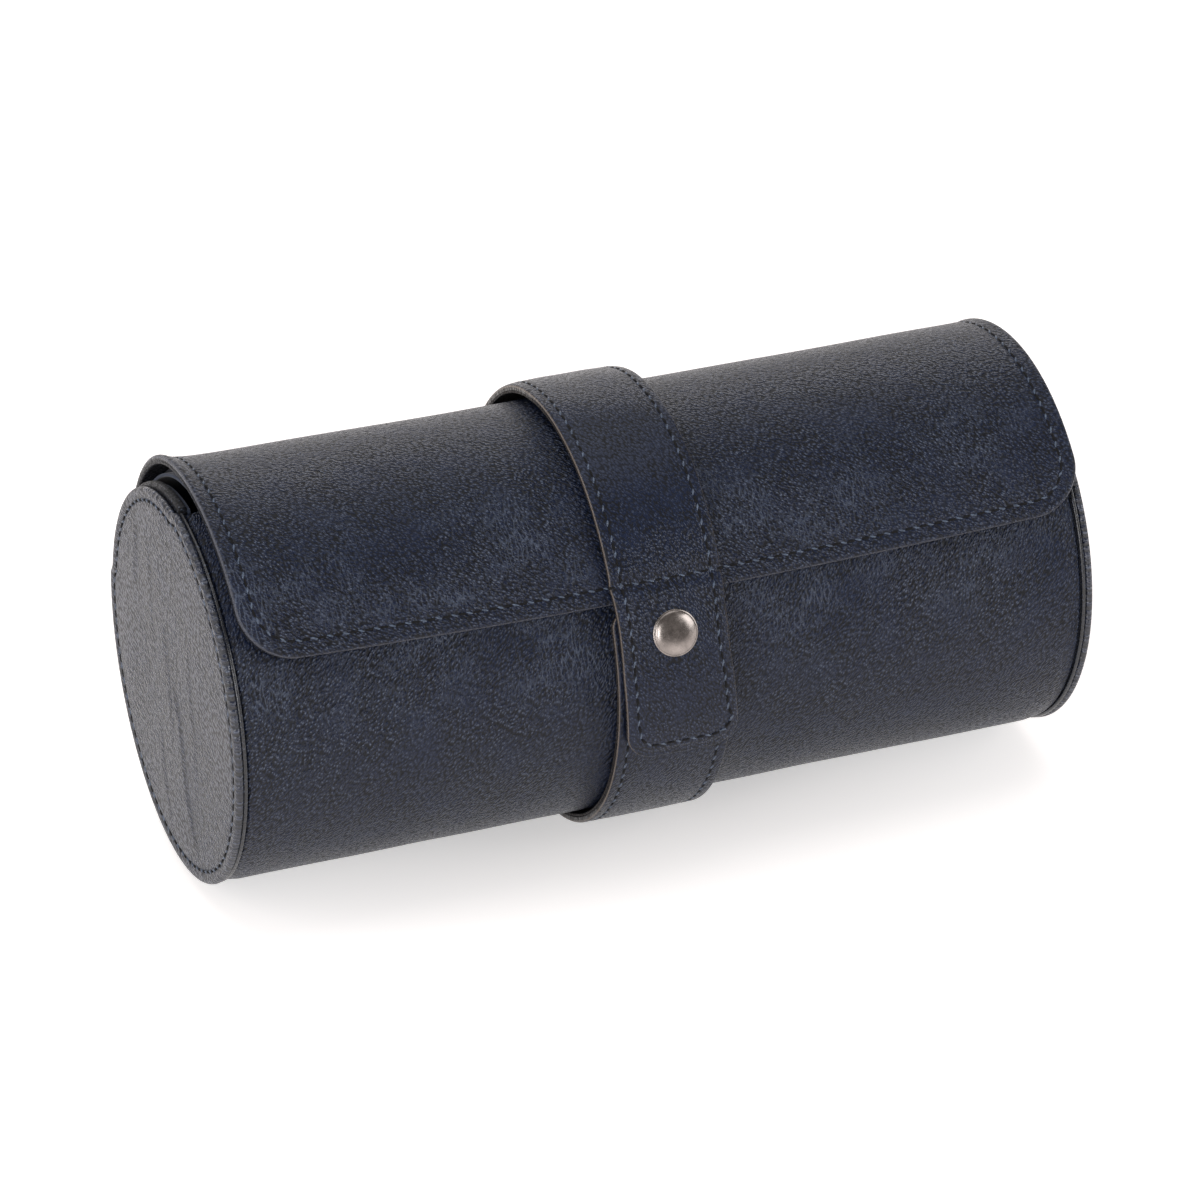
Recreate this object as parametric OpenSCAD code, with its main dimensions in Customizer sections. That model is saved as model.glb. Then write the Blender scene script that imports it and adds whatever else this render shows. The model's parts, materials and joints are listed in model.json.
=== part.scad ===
// Watch roll: a leather barrel case with a hinged flap, a strap with a snap tab and three cushions.
// X runs along the barrel, +Y is the back, +Z is up, and z = 0 is the flat under the strap.
// Angles are measured in the end view about the barrel's axis: 0 at the back, 90 at the top,
// 180 at the front, 270 at the bottom.

/* [Barrel] */
// Length over the two end discs
barrel_l = 203; // [170:1:240]
// Radius of the wall and of the end discs
barrel_r = 45; // [40:0.5:54]
// Angle of the tub's front lip
lip_a = 97; // [92:1:102]
// Angle of the hinge line at the back
hinge_a = 10; // [9:0.5:14]

/* [Layers] */
// Thickness of the outer leather on tub and flap
leather_t = 1.2; // [0.9:0.1:1.4]
// Thickness of the stiffening board in the tub
board_t = 1.6; // [1.2:0.1:2.2]
// Thickness of the stiffening board in the flap
flap_board_t = 1.2; // [0.8:0.1:1.4]
// Thickness of the suede lining
lining_t = 0.8; // [0.6:0.1:1]

/* [Ends] */
// Thickness of the leather end discs
disc_t = 1.6; // [1.2:0.1:2.4]
// Rounding of the end discs' outer rim
disc_round = 0.7; // [0.4:0.1:1]
// Thickness of the boards behind the end discs
end_board_t = 2; // [1.4:0.1:3]
// Diameter of the piping in the seam at each end
piping_d = 0.9; // [0.7:0.1:1.1]

/* [Flap] */
// Angle of the flap's front edge
flap_a = 151.5; // [151:0.5:156]
// Height of the flap's outer face over the wall at the top
flap_rise = 4.1; // [3:0.1:4.5]
// Thickness of the flap's turned edge
edge_t = 2.3; // [2.1:0.1:2.8]
// Width of the turned edge on the inside
edge_w = 1.4; // [1:0.1:3]
// Radius of the flap's front corners
flap_corner_r = 12; // [4:0.5:18]
// Gap between the flap's left end and the left disc
flap_gap_left = 1.5; // [0.3:0.1:3]
// Gap between the flap's right end and the right disc
flap_gap_right = 0.3; // [0.3:0.1:3]
// How far the flap opens
flap_open = 115; // [60:1:120]

/* [Strap and tab] */
// Width of the strap and the tab
strap_w = 26; // [20:0.5:34]
// Place of the strap's middle along the barrel
strap_x = -1; // [-20:0.5:20]
// Thickness of the strap's leather
strap_leather_t = 1.4; // [1.2:0.1:1.8]
// Thickness of the strap's backing
strap_backing_t = 0.8; // [0.6:0.1:1.2]
// Gap between flap and strap at the top
strap_rise = 1.8; // [1:0.1:4]
// Gap between wall and strap at the bottom
strap_drop = 0.9; // [0.6:0.1:1.4]
// Angle of the stitch line where the strap ends and the tab hinges
cross_a = 147.5; // [146:0.5:150]
// Angle of the tab's tip
tab_a = 195.5; // [185:0.5:200]
// Radius of the tab's corners
tab_corner_r = 7; // [3:0.5:9]
// Radius of the corners on the lower strap's free end
strap_corner_r = 4; // [2:0.5:8]
// Gap between tab and lower strap
tab_gap = 0.65; // [0.6:0.05:0.9]
// Depth of the flat that the roll rests on, pressed into the strap's underside
flat_d = 1; // [0.6:0.1:1]

/* [Snap] */
// Angle of the snap's middle
snap_a = 161; // [161:0.5:170]
// Diameter of the cap
cap_d = 10.5; // [9:0.1:12]
// Height of the cap's dome over the tab
cap_h = 1.4; // [1:0.1:2.2]
// Diameter of the posts through tab and strap
post_d = 2.8; // [2:0.1:3.6]
// Diameter of the socket ring
socket_d = 9; // [8.4:0.1:10]
// Thickness of the socket ring
socket_t = 1; // [0.9:0.1:1.2]
// Depth of the recess in the socket
recess_d = 0.5; // [0.4:0.05:0.6]
// Diameter of the stud's head
stud_d = 6.4; // [5:0.1:6.8]
// Height of the stud's head over the strap
stud_h = 0.85; // [0.6:0.05:0.85]
// Thickness of the stud's foot and of the rivet's base
foot_t = 0.5; // [0.4:0.05:0.6]

/* [Cushions] */
// Length of a cushion along the barrel
cushion_l = 50; // [40:1:56]
// Width of a cushion across the opening
cushion_w = 51; // [42:1:52]
// Depth of a cushion
cushion_d = 48; // [36:1:50]
// Share by which a cushion draws in at its ends
cushion_crown = 0.1; // [0.04:0.01:0.2]
// Thickness of a cushion's suede
suede_t = 1; // [0.8:0.1:1.6]
// Thickness of the board in a divider
divider_t = 1.6; // [1:0.1:3]
// Depth of the dividers' top edge below the opening
divider_drop = 6; // [3:1:14]

/* [Hidden] */
$fn = 96;

// Clearance between soft pieces that move past each other
soft_gap = 0.3;
// Clearance of a post in its hole and of a metal piece in its seat
fit_gap = 0.05;
// Gap left between the flap's front edge and the lower strap's free end, in degrees
end_gap_a = 2;
// Gap left between the boards along the hinge, in degrees on each side
board_gap_a = 1.5;
// Spare angle in the notch that lets the strap fold at the hinge
notch_spare_a = 0.75;
// Angle by which an arc is drawn past its end before the end is trimmed round
past_a = 4;
// Steps in which a round corner turns, and the smallest radius it may have
turn_steps = 12;
min_turn_r = 0.5;
// Depth to which the cap's rim and the stud's foot sink into the leather
snap_seat = 0.2;
// Height of the cap's straight rim
cap_rim = 0.5;
// Width of the stud's foot round its head
foot_rim = 1;
// Height of the bevel round the stud's head, which is three times as wide
stud_bevel = 0.3;
// Play round the stud's head in the socket
recess_gap = 0.6;

strap_t = strap_leather_t + strap_backing_t;
axis_z = barrel_r + strap_drop + strap_t - flat_d;
inner_r = barrel_r - leather_t - board_t - lining_t;
reach_r = 3 * barrel_r;

disc_x = barrel_l / 2 - disc_t;
wall_x = disc_x - piping_d;
end_board_x = disc_x - end_board_t;
end_lining_x = end_board_x - lining_t;

// Direction in which the opening faces, and the height of its chord over the axis
mouth_a = (hinge_a + lip_a) / 2;
mouth_h = inner_r * cos((lip_a - hinge_a) / 2);

function polar(a, r) = [r * cos(a), r * sin(a)];

// Circle through three points, as [centre y, centre z, radius]
function circle_through(p, q, s) =
    let (
        a = q - p,
        b = s - p,
        d = 2 * (a[0] * b[1] - a[1] * b[0]),
        u = (b[1] * (a * a) - a[1] * (b * b)) / d,
        v = (a[0] * (b * b) - b[0] * (a * a)) / d
    ) [p[0] + u, p[1] + v, norm([u, v])];

// Distance from the barrel's axis to a circle, in the direction a
function reach(c, a) =
    let (n = polar(a, 1), across = c[0] * n[1] - c[1] * n[0])
    c[0] * n[0] + c[1] * n[1] + sqrt(c[2] * c[2] - across * across);

function grown(c, d) = [c[0], c[1], c[2] + d];

wall = [0, 0, barrel_r];

// Outer face of the flap: flush with the wall at the hinge, over it at the top and the front
flap_c = circle_through(
    polar(hinge_a, barrel_r),
    polar(90, barrel_r + flap_rise),
    polar(flap_a, barrel_r + soft_gap + edge_t)
);
flap_t = leather_t + flap_board_t + lining_t;

// Inner face of the upper strap
upper_c = circle_through(
    polar(hinge_a, barrel_r + soft_gap),
    polar(90, barrel_r + flap_rise + strap_rise),
    polar(cross_a, reach(flap_c, cross_a) + soft_gap)
);

// Inner face of the lower strap, from its free end under the barrel to the hinge
lower_end_a = flap_a + end_gap_a;
lower_c = circle_through(
    polar(lower_end_a, barrel_r + soft_gap),
    polar(270, barrel_r + strap_drop),
    polar(hinge_a, barrel_r + soft_gap)
);
lower_top = grown(lower_c, strap_t);

// Inner face of the tab: it carries on from the upper strap and lies over the lower one
tab_c = circle_through(
    polar(cross_a, reach(upper_c, cross_a)),
    polar(snap_a, reach(lower_top, snap_a) + tab_gap),
    polar(tab_a, reach(lower_top, tab_a) + tab_gap)
);

// Hinge of the flap, and the hinge of the tab on the strap's outer face
flap_axis = polar(hinge_a, barrel_r);
tab_axis = polar(cross_a, reach(grown(upper_c, strap_t), cross_a));

stud_foot_d = stud_d + 2 * foot_rim;
rivet_d = stud_d + foot_rim;

// Heights of the snap's seats over the barrel's axis
stud_z = reach(lower_top, snap_a) - snap_seat;
rivet_z = reach(lower_c, snap_a);
socket_z = reach(tab_c, snap_a);
cap_z = reach(grown(tab_c, strap_t), snap_a) - snap_seat;

module along_x(x0, x1) {
    translate([x0, 0, axis_z]) rotate([90, 0, 90]) linear_extrude(x1 - x0) children();
}

module sector(a0, a1) {
    steps = 10;
    polygon([[0, 0], for (i = [0:steps]) polar(a0 + (a1 - a0) * i / steps, reach_r)]);
}

// A band of the circle c between two radii, cut at two angles about the barrel's axis
module band(c, r_out, r_in, a0, a1) {
    intersection() {
        translate([c[0], c[1]]) difference() {
            circle(r_out);
            circle(r_in);
        }
        sector(a0, a1);
    }
}

// Points along the two round corners of an end that is w wide, from one side to the other
function round_end(w, r) =
    let (turn = [for (i = [0:turn_steps]) r * [1 - cos(90 * i / turn_steps), 1 - sin(90 * i / turn_steps)]])
    concat(turn, [for (i = [turn_steps:-1:0]) [w - turn[i][0], turn[i][1]]]);

// A prism, square to the wall at the angle a, that ends an arc there with two round corners
module end_trim(a, x0, x1, r, inset = 0) {
    w = x1 - x0 - 2 * inset;
    translate([x0 + inset, 0, axis_z]) rotate([a - 90, 0, 0]) translate([0, inset, -reach_r])
        linear_extrude(2 * reach_r)
            polygon(concat([[0, reach_r]], round_end(w, max(r - inset, min_turn_r)), [[w, reach_r]]));
}

// A solid that stands on the wall at the snap, with its own z along the snap's axis
module at_snap(z) {
    translate([strap_x, 0, axis_z]) rotate([snap_a - 90, 0, 0]) translate([0, 0, z]) children();
}

module round_hole(d, z0, z1) {
    at_snap(z0) cylinder(d = d, h = z1 - z0);
}

// The wedge between the two halves of the strap, which closes as the flap opens
module fold_notch() {
    half = flap_open / 2 + notch_spare_a;
    long = 8 * strap_t;
    along_x(-barrel_l, barrel_l) polygon([
        flap_axis,
        flap_axis + polar(hinge_a + half, long),
        flap_axis + polar(hinge_a - half, long)
    ]);
}

module shell_leather() {
    turn_a = leather_t / barrel_r * 180 / PI;
    color("#232b40") along_x(-wall_x, wall_x) {
        band(wall, barrel_r, barrel_r - leather_t, lip_a, 360 + hinge_a);
        band(wall, barrel_r, inner_r, lip_a, lip_a + turn_a);
    }
}

module shell_board() {
    turn_a = leather_t / barrel_r * 180 / PI;
    color("#8c8577") along_x(-disc_x, disc_x)
        band(wall, barrel_r - leather_t, inner_r + lining_t, lip_a + turn_a,
             360 + hinge_a - board_gap_a);
}

module shell_lining() {
    turn_a = leather_t / barrel_r * 180 / PI;
    color("#5d6a80") along_x(-disc_x, disc_x)
        band(wall, inner_r + lining_t, inner_r, lip_a + turn_a, 360 + hinge_a);
}

module disc() {
    color("#3a3a44") translate([disc_x, 0, axis_z]) rotate([0, 90, 0]) rotate_extrude() {
        square([barrel_r - disc_round, disc_t]);
        square([barrel_r, disc_t - disc_round]);
        translate([barrel_r - disc_round, disc_t - disc_round]) intersection() {
            circle(disc_round);
            square(disc_round);
        }
    }
}

// Outline of an end's inner layers: they fill the tub and carry the shut flap on their shoulder
module end_outline() {
    circle(inner_r);
    intersection() {
        translate([flap_c[0], flap_c[1]]) circle(flap_c[2] - flap_t - soft_gap);
        sector(hinge_a, lip_a);
    }
}

module end_board() {
    color("#8c8577") along_x(end_board_x, disc_x) end_outline();
}

module end_lining() {
    color("#5d6a80") along_x(end_lining_x, end_board_x) end_outline();
}

module piping() {
    sweep_a = 360 + hinge_a - lip_a;
    color("#1b2030") translate([wall_x + piping_d / 2, 0, axis_z]) rotate([90, 0, 90])
        rotate([0, 0, lip_a]) rotate_extrude(angle = sweep_a)
            translate([barrel_r - leather_t + piping_d / 2, 0]) circle(d = piping_d, $fn = 32);
}

module left_disc() { mirror([1, 0, 0]) disc(); }
module left_board() { mirror([1, 0, 0]) end_board(); }
module left_lining() { mirror([1, 0, 0]) end_lining(); }
module left_piping() { mirror([1, 0, 0]) piping(); }
module right_disc() { disc(); }
module right_board() { end_board(); }
module right_lining() { end_lining(); }
module right_piping() { piping(); }

// Places of the two dividers and the three cushions along the barrel
divider_w = divider_t + 2 * lining_t;
bay_l = (2 * end_lining_x - 2 * divider_w) / 3;
divider_x = (bay_l + divider_w) / 2;
cushion_x = bay_l + divider_w;

// The part of the tub's round below a straight top edge that lies square to the opening
module divider_outline(top) {
    intersection() {
        circle(inner_r);
        rotate(mouth_a - 90) translate([-reach_r, -reach_r]) square([2 * reach_r, reach_r + top]);
    }
}

module divider_board(x) {
    color("#8c8577") along_x(x - divider_t / 2, x + divider_t / 2)
        divider_outline(mouth_h - divider_drop - lining_t);
}

module divider_cover(x) {
    color("#5d6a80") {
        along_x(x - divider_w / 2, x - divider_t / 2) divider_outline(mouth_h - divider_drop);
        along_x(x + divider_t / 2, x + divider_w / 2) divider_outline(mouth_h - divider_drop);
        along_x(x - divider_t / 2, x + divider_t / 2) difference() {
            divider_outline(mouth_h - divider_drop);
            divider_outline(mouth_h - divider_drop - lining_t);
        }
    }
}

module left_divider_board() { divider_board(-divider_x); }
module left_divider_cover() { divider_cover(-divider_x); }
module right_divider_board() { divider_board(divider_x); }
module right_divider_cover() { divider_cover(divider_x); }

strap_x0 = strap_x - strap_w / 2;
strap_x1 = strap_x + strap_w / 2;

// What is cut off the lower strap's free end to leave it with round corners. It is drawn a little
// wider than the strap, so that its arcs cross the strap's sides instead of touching them.
module lower_end_waste() {
    r = strap_corner_r;
    w = strap_w + 2 * fit_gap;
    translate([strap_x0 - fit_gap, 0, axis_z]) rotate([lower_end_a - 90, 0, 0]) mirror([0, 1, 0])
        linear_extrude(reach_r)
            polygon(concat([[-r, -reach_r], [-r, r]], round_end(w, r), [[w + r, r], [w + r, -reach_r]]));
}

// A layer of the lower strap, with its free end rounded, its underside flat and its fold notched
module lower_layer(d0, d1) {
    difference() {
        along_x(strap_x0, strap_x1)
            band(lower_c, lower_c[2] + d1, lower_c[2] + d0, lower_end_a - past_a, 360 + hinge_a);
        lower_end_waste();
        translate([-barrel_l, -barrel_l, -barrel_l]) cube([2 * barrel_l, 2 * barrel_l, barrel_l]);
        fold_notch();
    }
}

module lower_strap() {
    color("#252d43") difference() {
        lower_layer(strap_backing_t, strap_t);
        round_hole(stud_foot_d + 2 * fit_gap, stud_z, stud_z + strap_t);
        round_hole(post_d + 2 * fit_gap, 0, stud_z + strap_t);
    }
}

module lower_strap_backing() {
    color("#3a4152") difference() {
        lower_layer(0, strap_backing_t);
        round_hole(post_d + 2 * fit_gap, 0, stud_z);
        round_hole(rivet_d + 2 * fit_gap, 0, rivet_z + foot_t);
    }
}

// Low head with a bevelled shoulder, on a foot that sits in the leather
module snap_stud() {
    top = stud_h + snap_seat;
    color("#9a948c") at_snap(stud_z) rotate_extrude() polygon([
        [0, 0], [stud_foot_d / 2, 0], [stud_foot_d / 2, snap_seat], [stud_d / 2, snap_seat],
        [stud_d / 2, top - stud_bevel], [stud_d / 2 - 3 * stud_bevel, top], [0, top]
    ]);
}

module stud_rivet() {
    color("#9a948c") at_snap(rivet_z) {
        cylinder(d = rivet_d, h = foot_t);
        cylinder(d = post_d, h = stud_z - rivet_z);
    }
}

flap_x0 = -disc_x + flap_gap_left;
flap_x1 = disc_x - flap_gap_right;
flap_board_a = lip_a - board_gap_a;

module flap_layer(d0, d1, a0, a1) {
    along_x(flap_x0, flap_x1) band(flap_c, flap_c[2] - d0, flap_c[2] - d1, a0, a1);
}

module flap_outline(inset) {
    end_trim(flap_a, flap_x0, flap_x1, flap_corner_r, inset);
}

// The leather is turned in along its edges, so the pocket behind it is smaller than the flap
module flap_leather() {
    color("#232b40") difference() {
        intersection() {
            flap_layer(0, edge_t, hinge_a, flap_a + past_a);
            flap_outline(0);
        }
        intersection() {
            flap_layer(leather_t, 2 * edge_t, hinge_a - past_a, flap_a + past_a);
            flap_outline(edge_w);
        }
    }
}

module flap_board() {
    color("#8c8577") intersection() {
        flap_layer(leather_t, leather_t + flap_board_t, hinge_a + board_gap_a, flap_board_a);
        flap_outline(edge_w);
    }
}

// Over the board the lining lies deeper, and it steps up to the leather in front of it
module flap_lining() {
    step_a = lining_t / barrel_r * 180 / PI;
    color("#5d6a80") intersection() {
        union() {
            flap_layer(leather_t + flap_board_t, flap_t, hinge_a, flap_board_a + step_a);
            flap_layer(leather_t, flap_t, flap_board_a, flap_board_a + step_a);
            flap_layer(leather_t, leather_t + lining_t, flap_board_a, flap_a);
        }
        flap_outline(edge_w);
    }
}

module upper_layer(d0, d1) {
    difference() {
        along_x(strap_x0, strap_x1)
            band(upper_c, upper_c[2] + d1, upper_c[2] + d0, hinge_a, cross_a);
        fold_notch();
    }
}

module upper_strap() {
    color("#252d43") upper_layer(strap_backing_t, strap_t);
}

module upper_strap_backing() {
    color("#3a4152") upper_layer(0, strap_backing_t);
}

module tab_layer(d0, d1) {
    intersection() {
        along_x(strap_x0, strap_x1)
            band(tab_c, tab_c[2] + d1, tab_c[2] + d0, cross_a, tab_a + past_a);
        end_trim(tab_a, strap_x0, strap_x1, tab_corner_r);
    }
}

module tab_leather() {
    color("#232b40") difference() {
        tab_layer(strap_backing_t, strap_t);
        round_hole(post_d + 2 * fit_gap, 0, cap_z + strap_t);
        round_hole(cap_d + 2 * fit_gap, cap_z, cap_z + strap_t);
        round_hole(socket_d + 2 * fit_gap, 0, socket_z + socket_t);
    }
}

module tab_backing() {
    color("#3a4152") difference() {
        tab_layer(0, strap_backing_t);
        round_hole(socket_d + 2 * fit_gap, 0, cap_z);
    }
}

// Domed cap with its post
module snap_cap() {
    top = cap_h + snap_seat;
    dome_h = top - cap_rim;
    dome_r = (pow(cap_d / 2, 2) + pow(dome_h, 2)) / (2 * dome_h);
    color("#b0a9a0") at_snap(cap_z) {
        rotate_extrude() {
            square([cap_d / 2, cap_rim]);
            intersection() {
                translate([0, top - dome_r]) circle(dome_r);
                translate([0, cap_rim]) square([cap_d / 2, top]);
            }
        }
        translate([0, 0, socket_z + socket_t - cap_z])
            cylinder(d = post_d, h = cap_z - socket_z - socket_t);
    }
}

// Ring with a shallow recess that the stud's head sits in
module snap_socket() {
    color("#9a948c") at_snap(socket_z) difference() {
        cylinder(d = socket_d, h = socket_t);
        translate([0, 0, -socket_t]) cylinder(d = stud_d + 2 * recess_gap, h = socket_t + recess_d);
    }
}

// Cushions: an oval section that draws in towards the ends
sides = 36;
rings = 9;
oval = 2.3;

function signed_pow(v, p) = sign(v) * pow(abs(v), p);
function oval_point(a, w, d) =
    [w / 2 * signed_pow(cos(a), 2 / oval), d / 2 * signed_pow(sin(a), 2 / oval)];
function draw_in(t) = 1 - cushion_crown * pow(abs(t), 3);

// Depth of the cushions' middle below the barrel's axis, where they touch the lining
seat_r = inner_r - soft_gap;
cushion_seat = min([
    for (i = [0:sides - 1])
        let (p = oval_point(360 * i / sides, cushion_w, cushion_d))
        p[1] + sqrt(seat_r * seat_r - p[0] * p[0])
]);

// Rings of points from x0 to x1 for the oval, drawn in by its place along the whole cushion
function oval_rings(x0, x1, n, inset) = [
    for (j = [0:n - 1], i = [0:sides - 1])
        let (
            x = x0 + (x1 - x0) * j / (n - 1),
            s = draw_in(2 * x / cushion_l),
            p = oval_point(360 * i / sides, cushion_w - 2 * inset, cushion_d - 2 * inset)
        ) [x, p[0] * s, p[1] * s]
];

function skin(n, first, flip) = [
    for (j = [0:n - 2], i = [0:sides - 1], k = [0, 1])
        let (
            a = first + j * sides + i,
            b = first + j * sides + (i + 1) % sides,
            c = a + sides,
            d = b + sides,
            f = k == 0 ? [a, c, b] : [b, c, d]
        ) flip ? [f[2], f[1], f[0]] : f
];

function cap(first, flip) = [
    for (i = [1:sides - 2])
        flip ? [first + i + 1, first + i, first] : [first, first + i, first + i + 1]
];

function rim(outer, inner, flip) = [
    for (i = [0:sides - 1], k = [0, 1])
        let (
            j = (i + 1) % sides,
            f = k == 0 ? [outer + i, outer + j, inner + i] : [outer + j, inner + j, inner + i]
        ) flip ? [f[2], f[1], f[0]] : f
];

module oval_solid(x0, x1, n, inset) {
    polyhedron(oval_rings(x0, x1, n, inset),
               concat(skin(n, 0, false), cap(0, false), cap((n - 1) * sides, true)));
}

module oval_tube(x0, x1, n, inset) {
    inner = n * sides;
    polyhedron(
        concat(oval_rings(x0, x1, n, 0), oval_rings(x0, x1, n, inset)),
        concat(skin(n, 0, false), skin(n, inner, true), rim(0, inner, false),
               rim(inner - sides, 2 * inner - sides, true))
    );
}

module in_bay(x) {
    translate([x, 0, axis_z]) rotate([mouth_a - 90, 0, 0]) translate([0, 0, -cushion_seat]) children();
}

module cushion_wrap(x) {
    color("#66728a") in_bay(x) oval_tube(-cushion_l / 2, cushion_l / 2, rings, suede_t);
}

module cushion_ends(x) {
    half = cushion_l / 2;
    color("#5d6a80") in_bay(x) {
        oval_solid(-half, -half + suede_t, 2, suede_t + fit_gap);
        oval_solid(half - suede_t, half, 2, suede_t + fit_gap);
    }
}

module cushion_core(x) {
    half = cushion_l / 2 - suede_t - fit_gap;
    color("#c9c3b4") in_bay(x) oval_solid(-half, half, rings, suede_t + fit_gap);
}

module left_cushion_wrap() { cushion_wrap(-cushion_x); }
module left_cushion_ends() { cushion_ends(-cushion_x); }
module left_cushion_core() { cushion_core(-cushion_x); }
module middle_cushion_wrap() { cushion_wrap(0); }
module middle_cushion_ends() { cushion_ends(0); }
module middle_cushion_core() { cushion_core(0); }
module right_cushion_wrap() { cushion_wrap(cushion_x); }
module right_cushion_ends() { cushion_ends(cushion_x); }
module right_cushion_core() { cushion_core(cushion_x); }

shell_leather();
shell_board();
shell_lining();
left_disc();
left_board();
left_lining();
left_piping();
right_disc();
right_board();
right_lining();
right_piping();
left_divider_board();
left_divider_cover();
right_divider_board();
right_divider_cover();
lower_strap();
lower_strap_backing();
snap_stud();
stud_rivet();
flap_leather();
flap_board();
flap_lining();
upper_strap();
upper_strap_backing();
tab_leather();
tab_backing();
snap_cap();
snap_socket();
left_cushion_wrap();
left_cushion_ends();
left_cushion_core();
middle_cushion_wrap();
middle_cushion_ends();
middle_cushion_core();
right_cushion_wrap();
right_cushion_ends();
right_cushion_core();
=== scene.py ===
"""A navy leather watch roll: barrel, flap, strap with a snap tab, and three cushions.

Every shape is worked out in millimetres round the barrel's axis, in the end view, and put into the
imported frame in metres. Leather is cut as a flat pattern (x along the barrel, s along the wrap) and
wrapped on a rail, which is the line of its outer face in the end view.
"""

from __future__ import annotations

import json
import logging
import math
from collections.abc import Callable
from dataclasses import dataclass, field
from enum import Enum

import bmesh
import bpy
import numpy as np
from mathutils import Matrix, Vector
from numpy.typing import NDArray

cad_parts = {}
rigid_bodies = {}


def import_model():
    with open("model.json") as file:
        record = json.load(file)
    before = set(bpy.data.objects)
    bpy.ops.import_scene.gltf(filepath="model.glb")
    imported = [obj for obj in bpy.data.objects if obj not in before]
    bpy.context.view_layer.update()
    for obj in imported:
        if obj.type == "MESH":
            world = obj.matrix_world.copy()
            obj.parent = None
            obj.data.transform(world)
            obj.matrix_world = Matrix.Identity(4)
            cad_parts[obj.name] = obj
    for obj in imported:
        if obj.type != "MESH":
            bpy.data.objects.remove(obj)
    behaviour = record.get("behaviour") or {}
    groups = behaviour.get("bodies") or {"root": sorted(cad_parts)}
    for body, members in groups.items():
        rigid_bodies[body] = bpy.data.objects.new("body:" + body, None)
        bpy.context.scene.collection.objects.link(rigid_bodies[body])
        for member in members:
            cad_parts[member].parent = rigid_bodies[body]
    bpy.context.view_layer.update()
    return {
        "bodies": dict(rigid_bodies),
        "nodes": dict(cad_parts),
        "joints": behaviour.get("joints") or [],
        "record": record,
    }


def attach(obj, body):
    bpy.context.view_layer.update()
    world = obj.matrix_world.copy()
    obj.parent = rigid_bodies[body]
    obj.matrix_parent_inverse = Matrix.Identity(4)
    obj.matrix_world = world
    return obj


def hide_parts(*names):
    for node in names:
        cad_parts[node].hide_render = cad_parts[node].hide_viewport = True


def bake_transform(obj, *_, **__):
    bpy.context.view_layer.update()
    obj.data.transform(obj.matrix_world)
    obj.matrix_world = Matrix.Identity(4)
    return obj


Array = NDArray[np.float64]
Numbers = NDArray[np.int64]
Relief = Callable[[Array, Array], Array]
Piece = bpy.types.Object
Socket = bpy.types.NodeSocket
Triple = tuple[float, float, float]
Colour = Triple
Edge = list[tuple[float, float]]
LOG = logging.getLogger("watch_roll")

MM = 0.001
AXIS_Z = 47.1
PATTERN_MAP = "pattern"
SHADE = "shade"


class Body(str, Enum):
    """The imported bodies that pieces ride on."""

    TUB = "tub"
    FLAP = "flap"
    TAB = "tab"
    LEFT_CUSHION = "left_cushion"
    MIDDLE_CUSHION = "middle_cushion"
    RIGHT_CUSHION = "right_cushion"


class Slot(str, Enum):
    """The record's material slots."""

    BODY = "body_leather"
    DISC = "disc_leather"
    STRAP = "strap_leather"
    BACKING = "backing_leather"
    PIPING = "piping"
    BOARD = "board"
    SUEDE = "suede"
    CUSHION = "cushion_suede"
    FOAM = "foam"
    CAP = "cap_metal"
    SNAP = "snap_metal"


# The end view


@dataclass(frozen=True)
class Circle:
    """A circle in the end view, relative to the barrel's axis, in mm."""

    y: float
    z: float
    r: float

    def reach(self, angle: Array) -> Array:
        """Distance from the barrel's axis to the circle in the given directions, in degrees."""
        a = np.radians(angle)
        along = self.y * np.cos(a) + self.z * np.sin(a)
        across = self.y * np.sin(a) - self.z * np.cos(a)
        return along + np.sqrt(self.r**2 - across**2)

    def grown(self, by: float) -> Circle:
        """The same circle with a larger radius."""
        return Circle(self.y, self.z, self.r + by)


WALL = Circle(0.0, 0.0, 45.0)
FLAP = Circle(-0.7236, 3.8957, 45.2101)
STRAP_UP = Circle(-0.2879, 5.9609, 47.1401)
STRAP_LOW = Circle(-0.0659, -0.4542, 47.6458)
TAB = Circle(0.094, -0.4606, 50.6486)
HINGE_A = 10.0
TURN = 360.0


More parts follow.
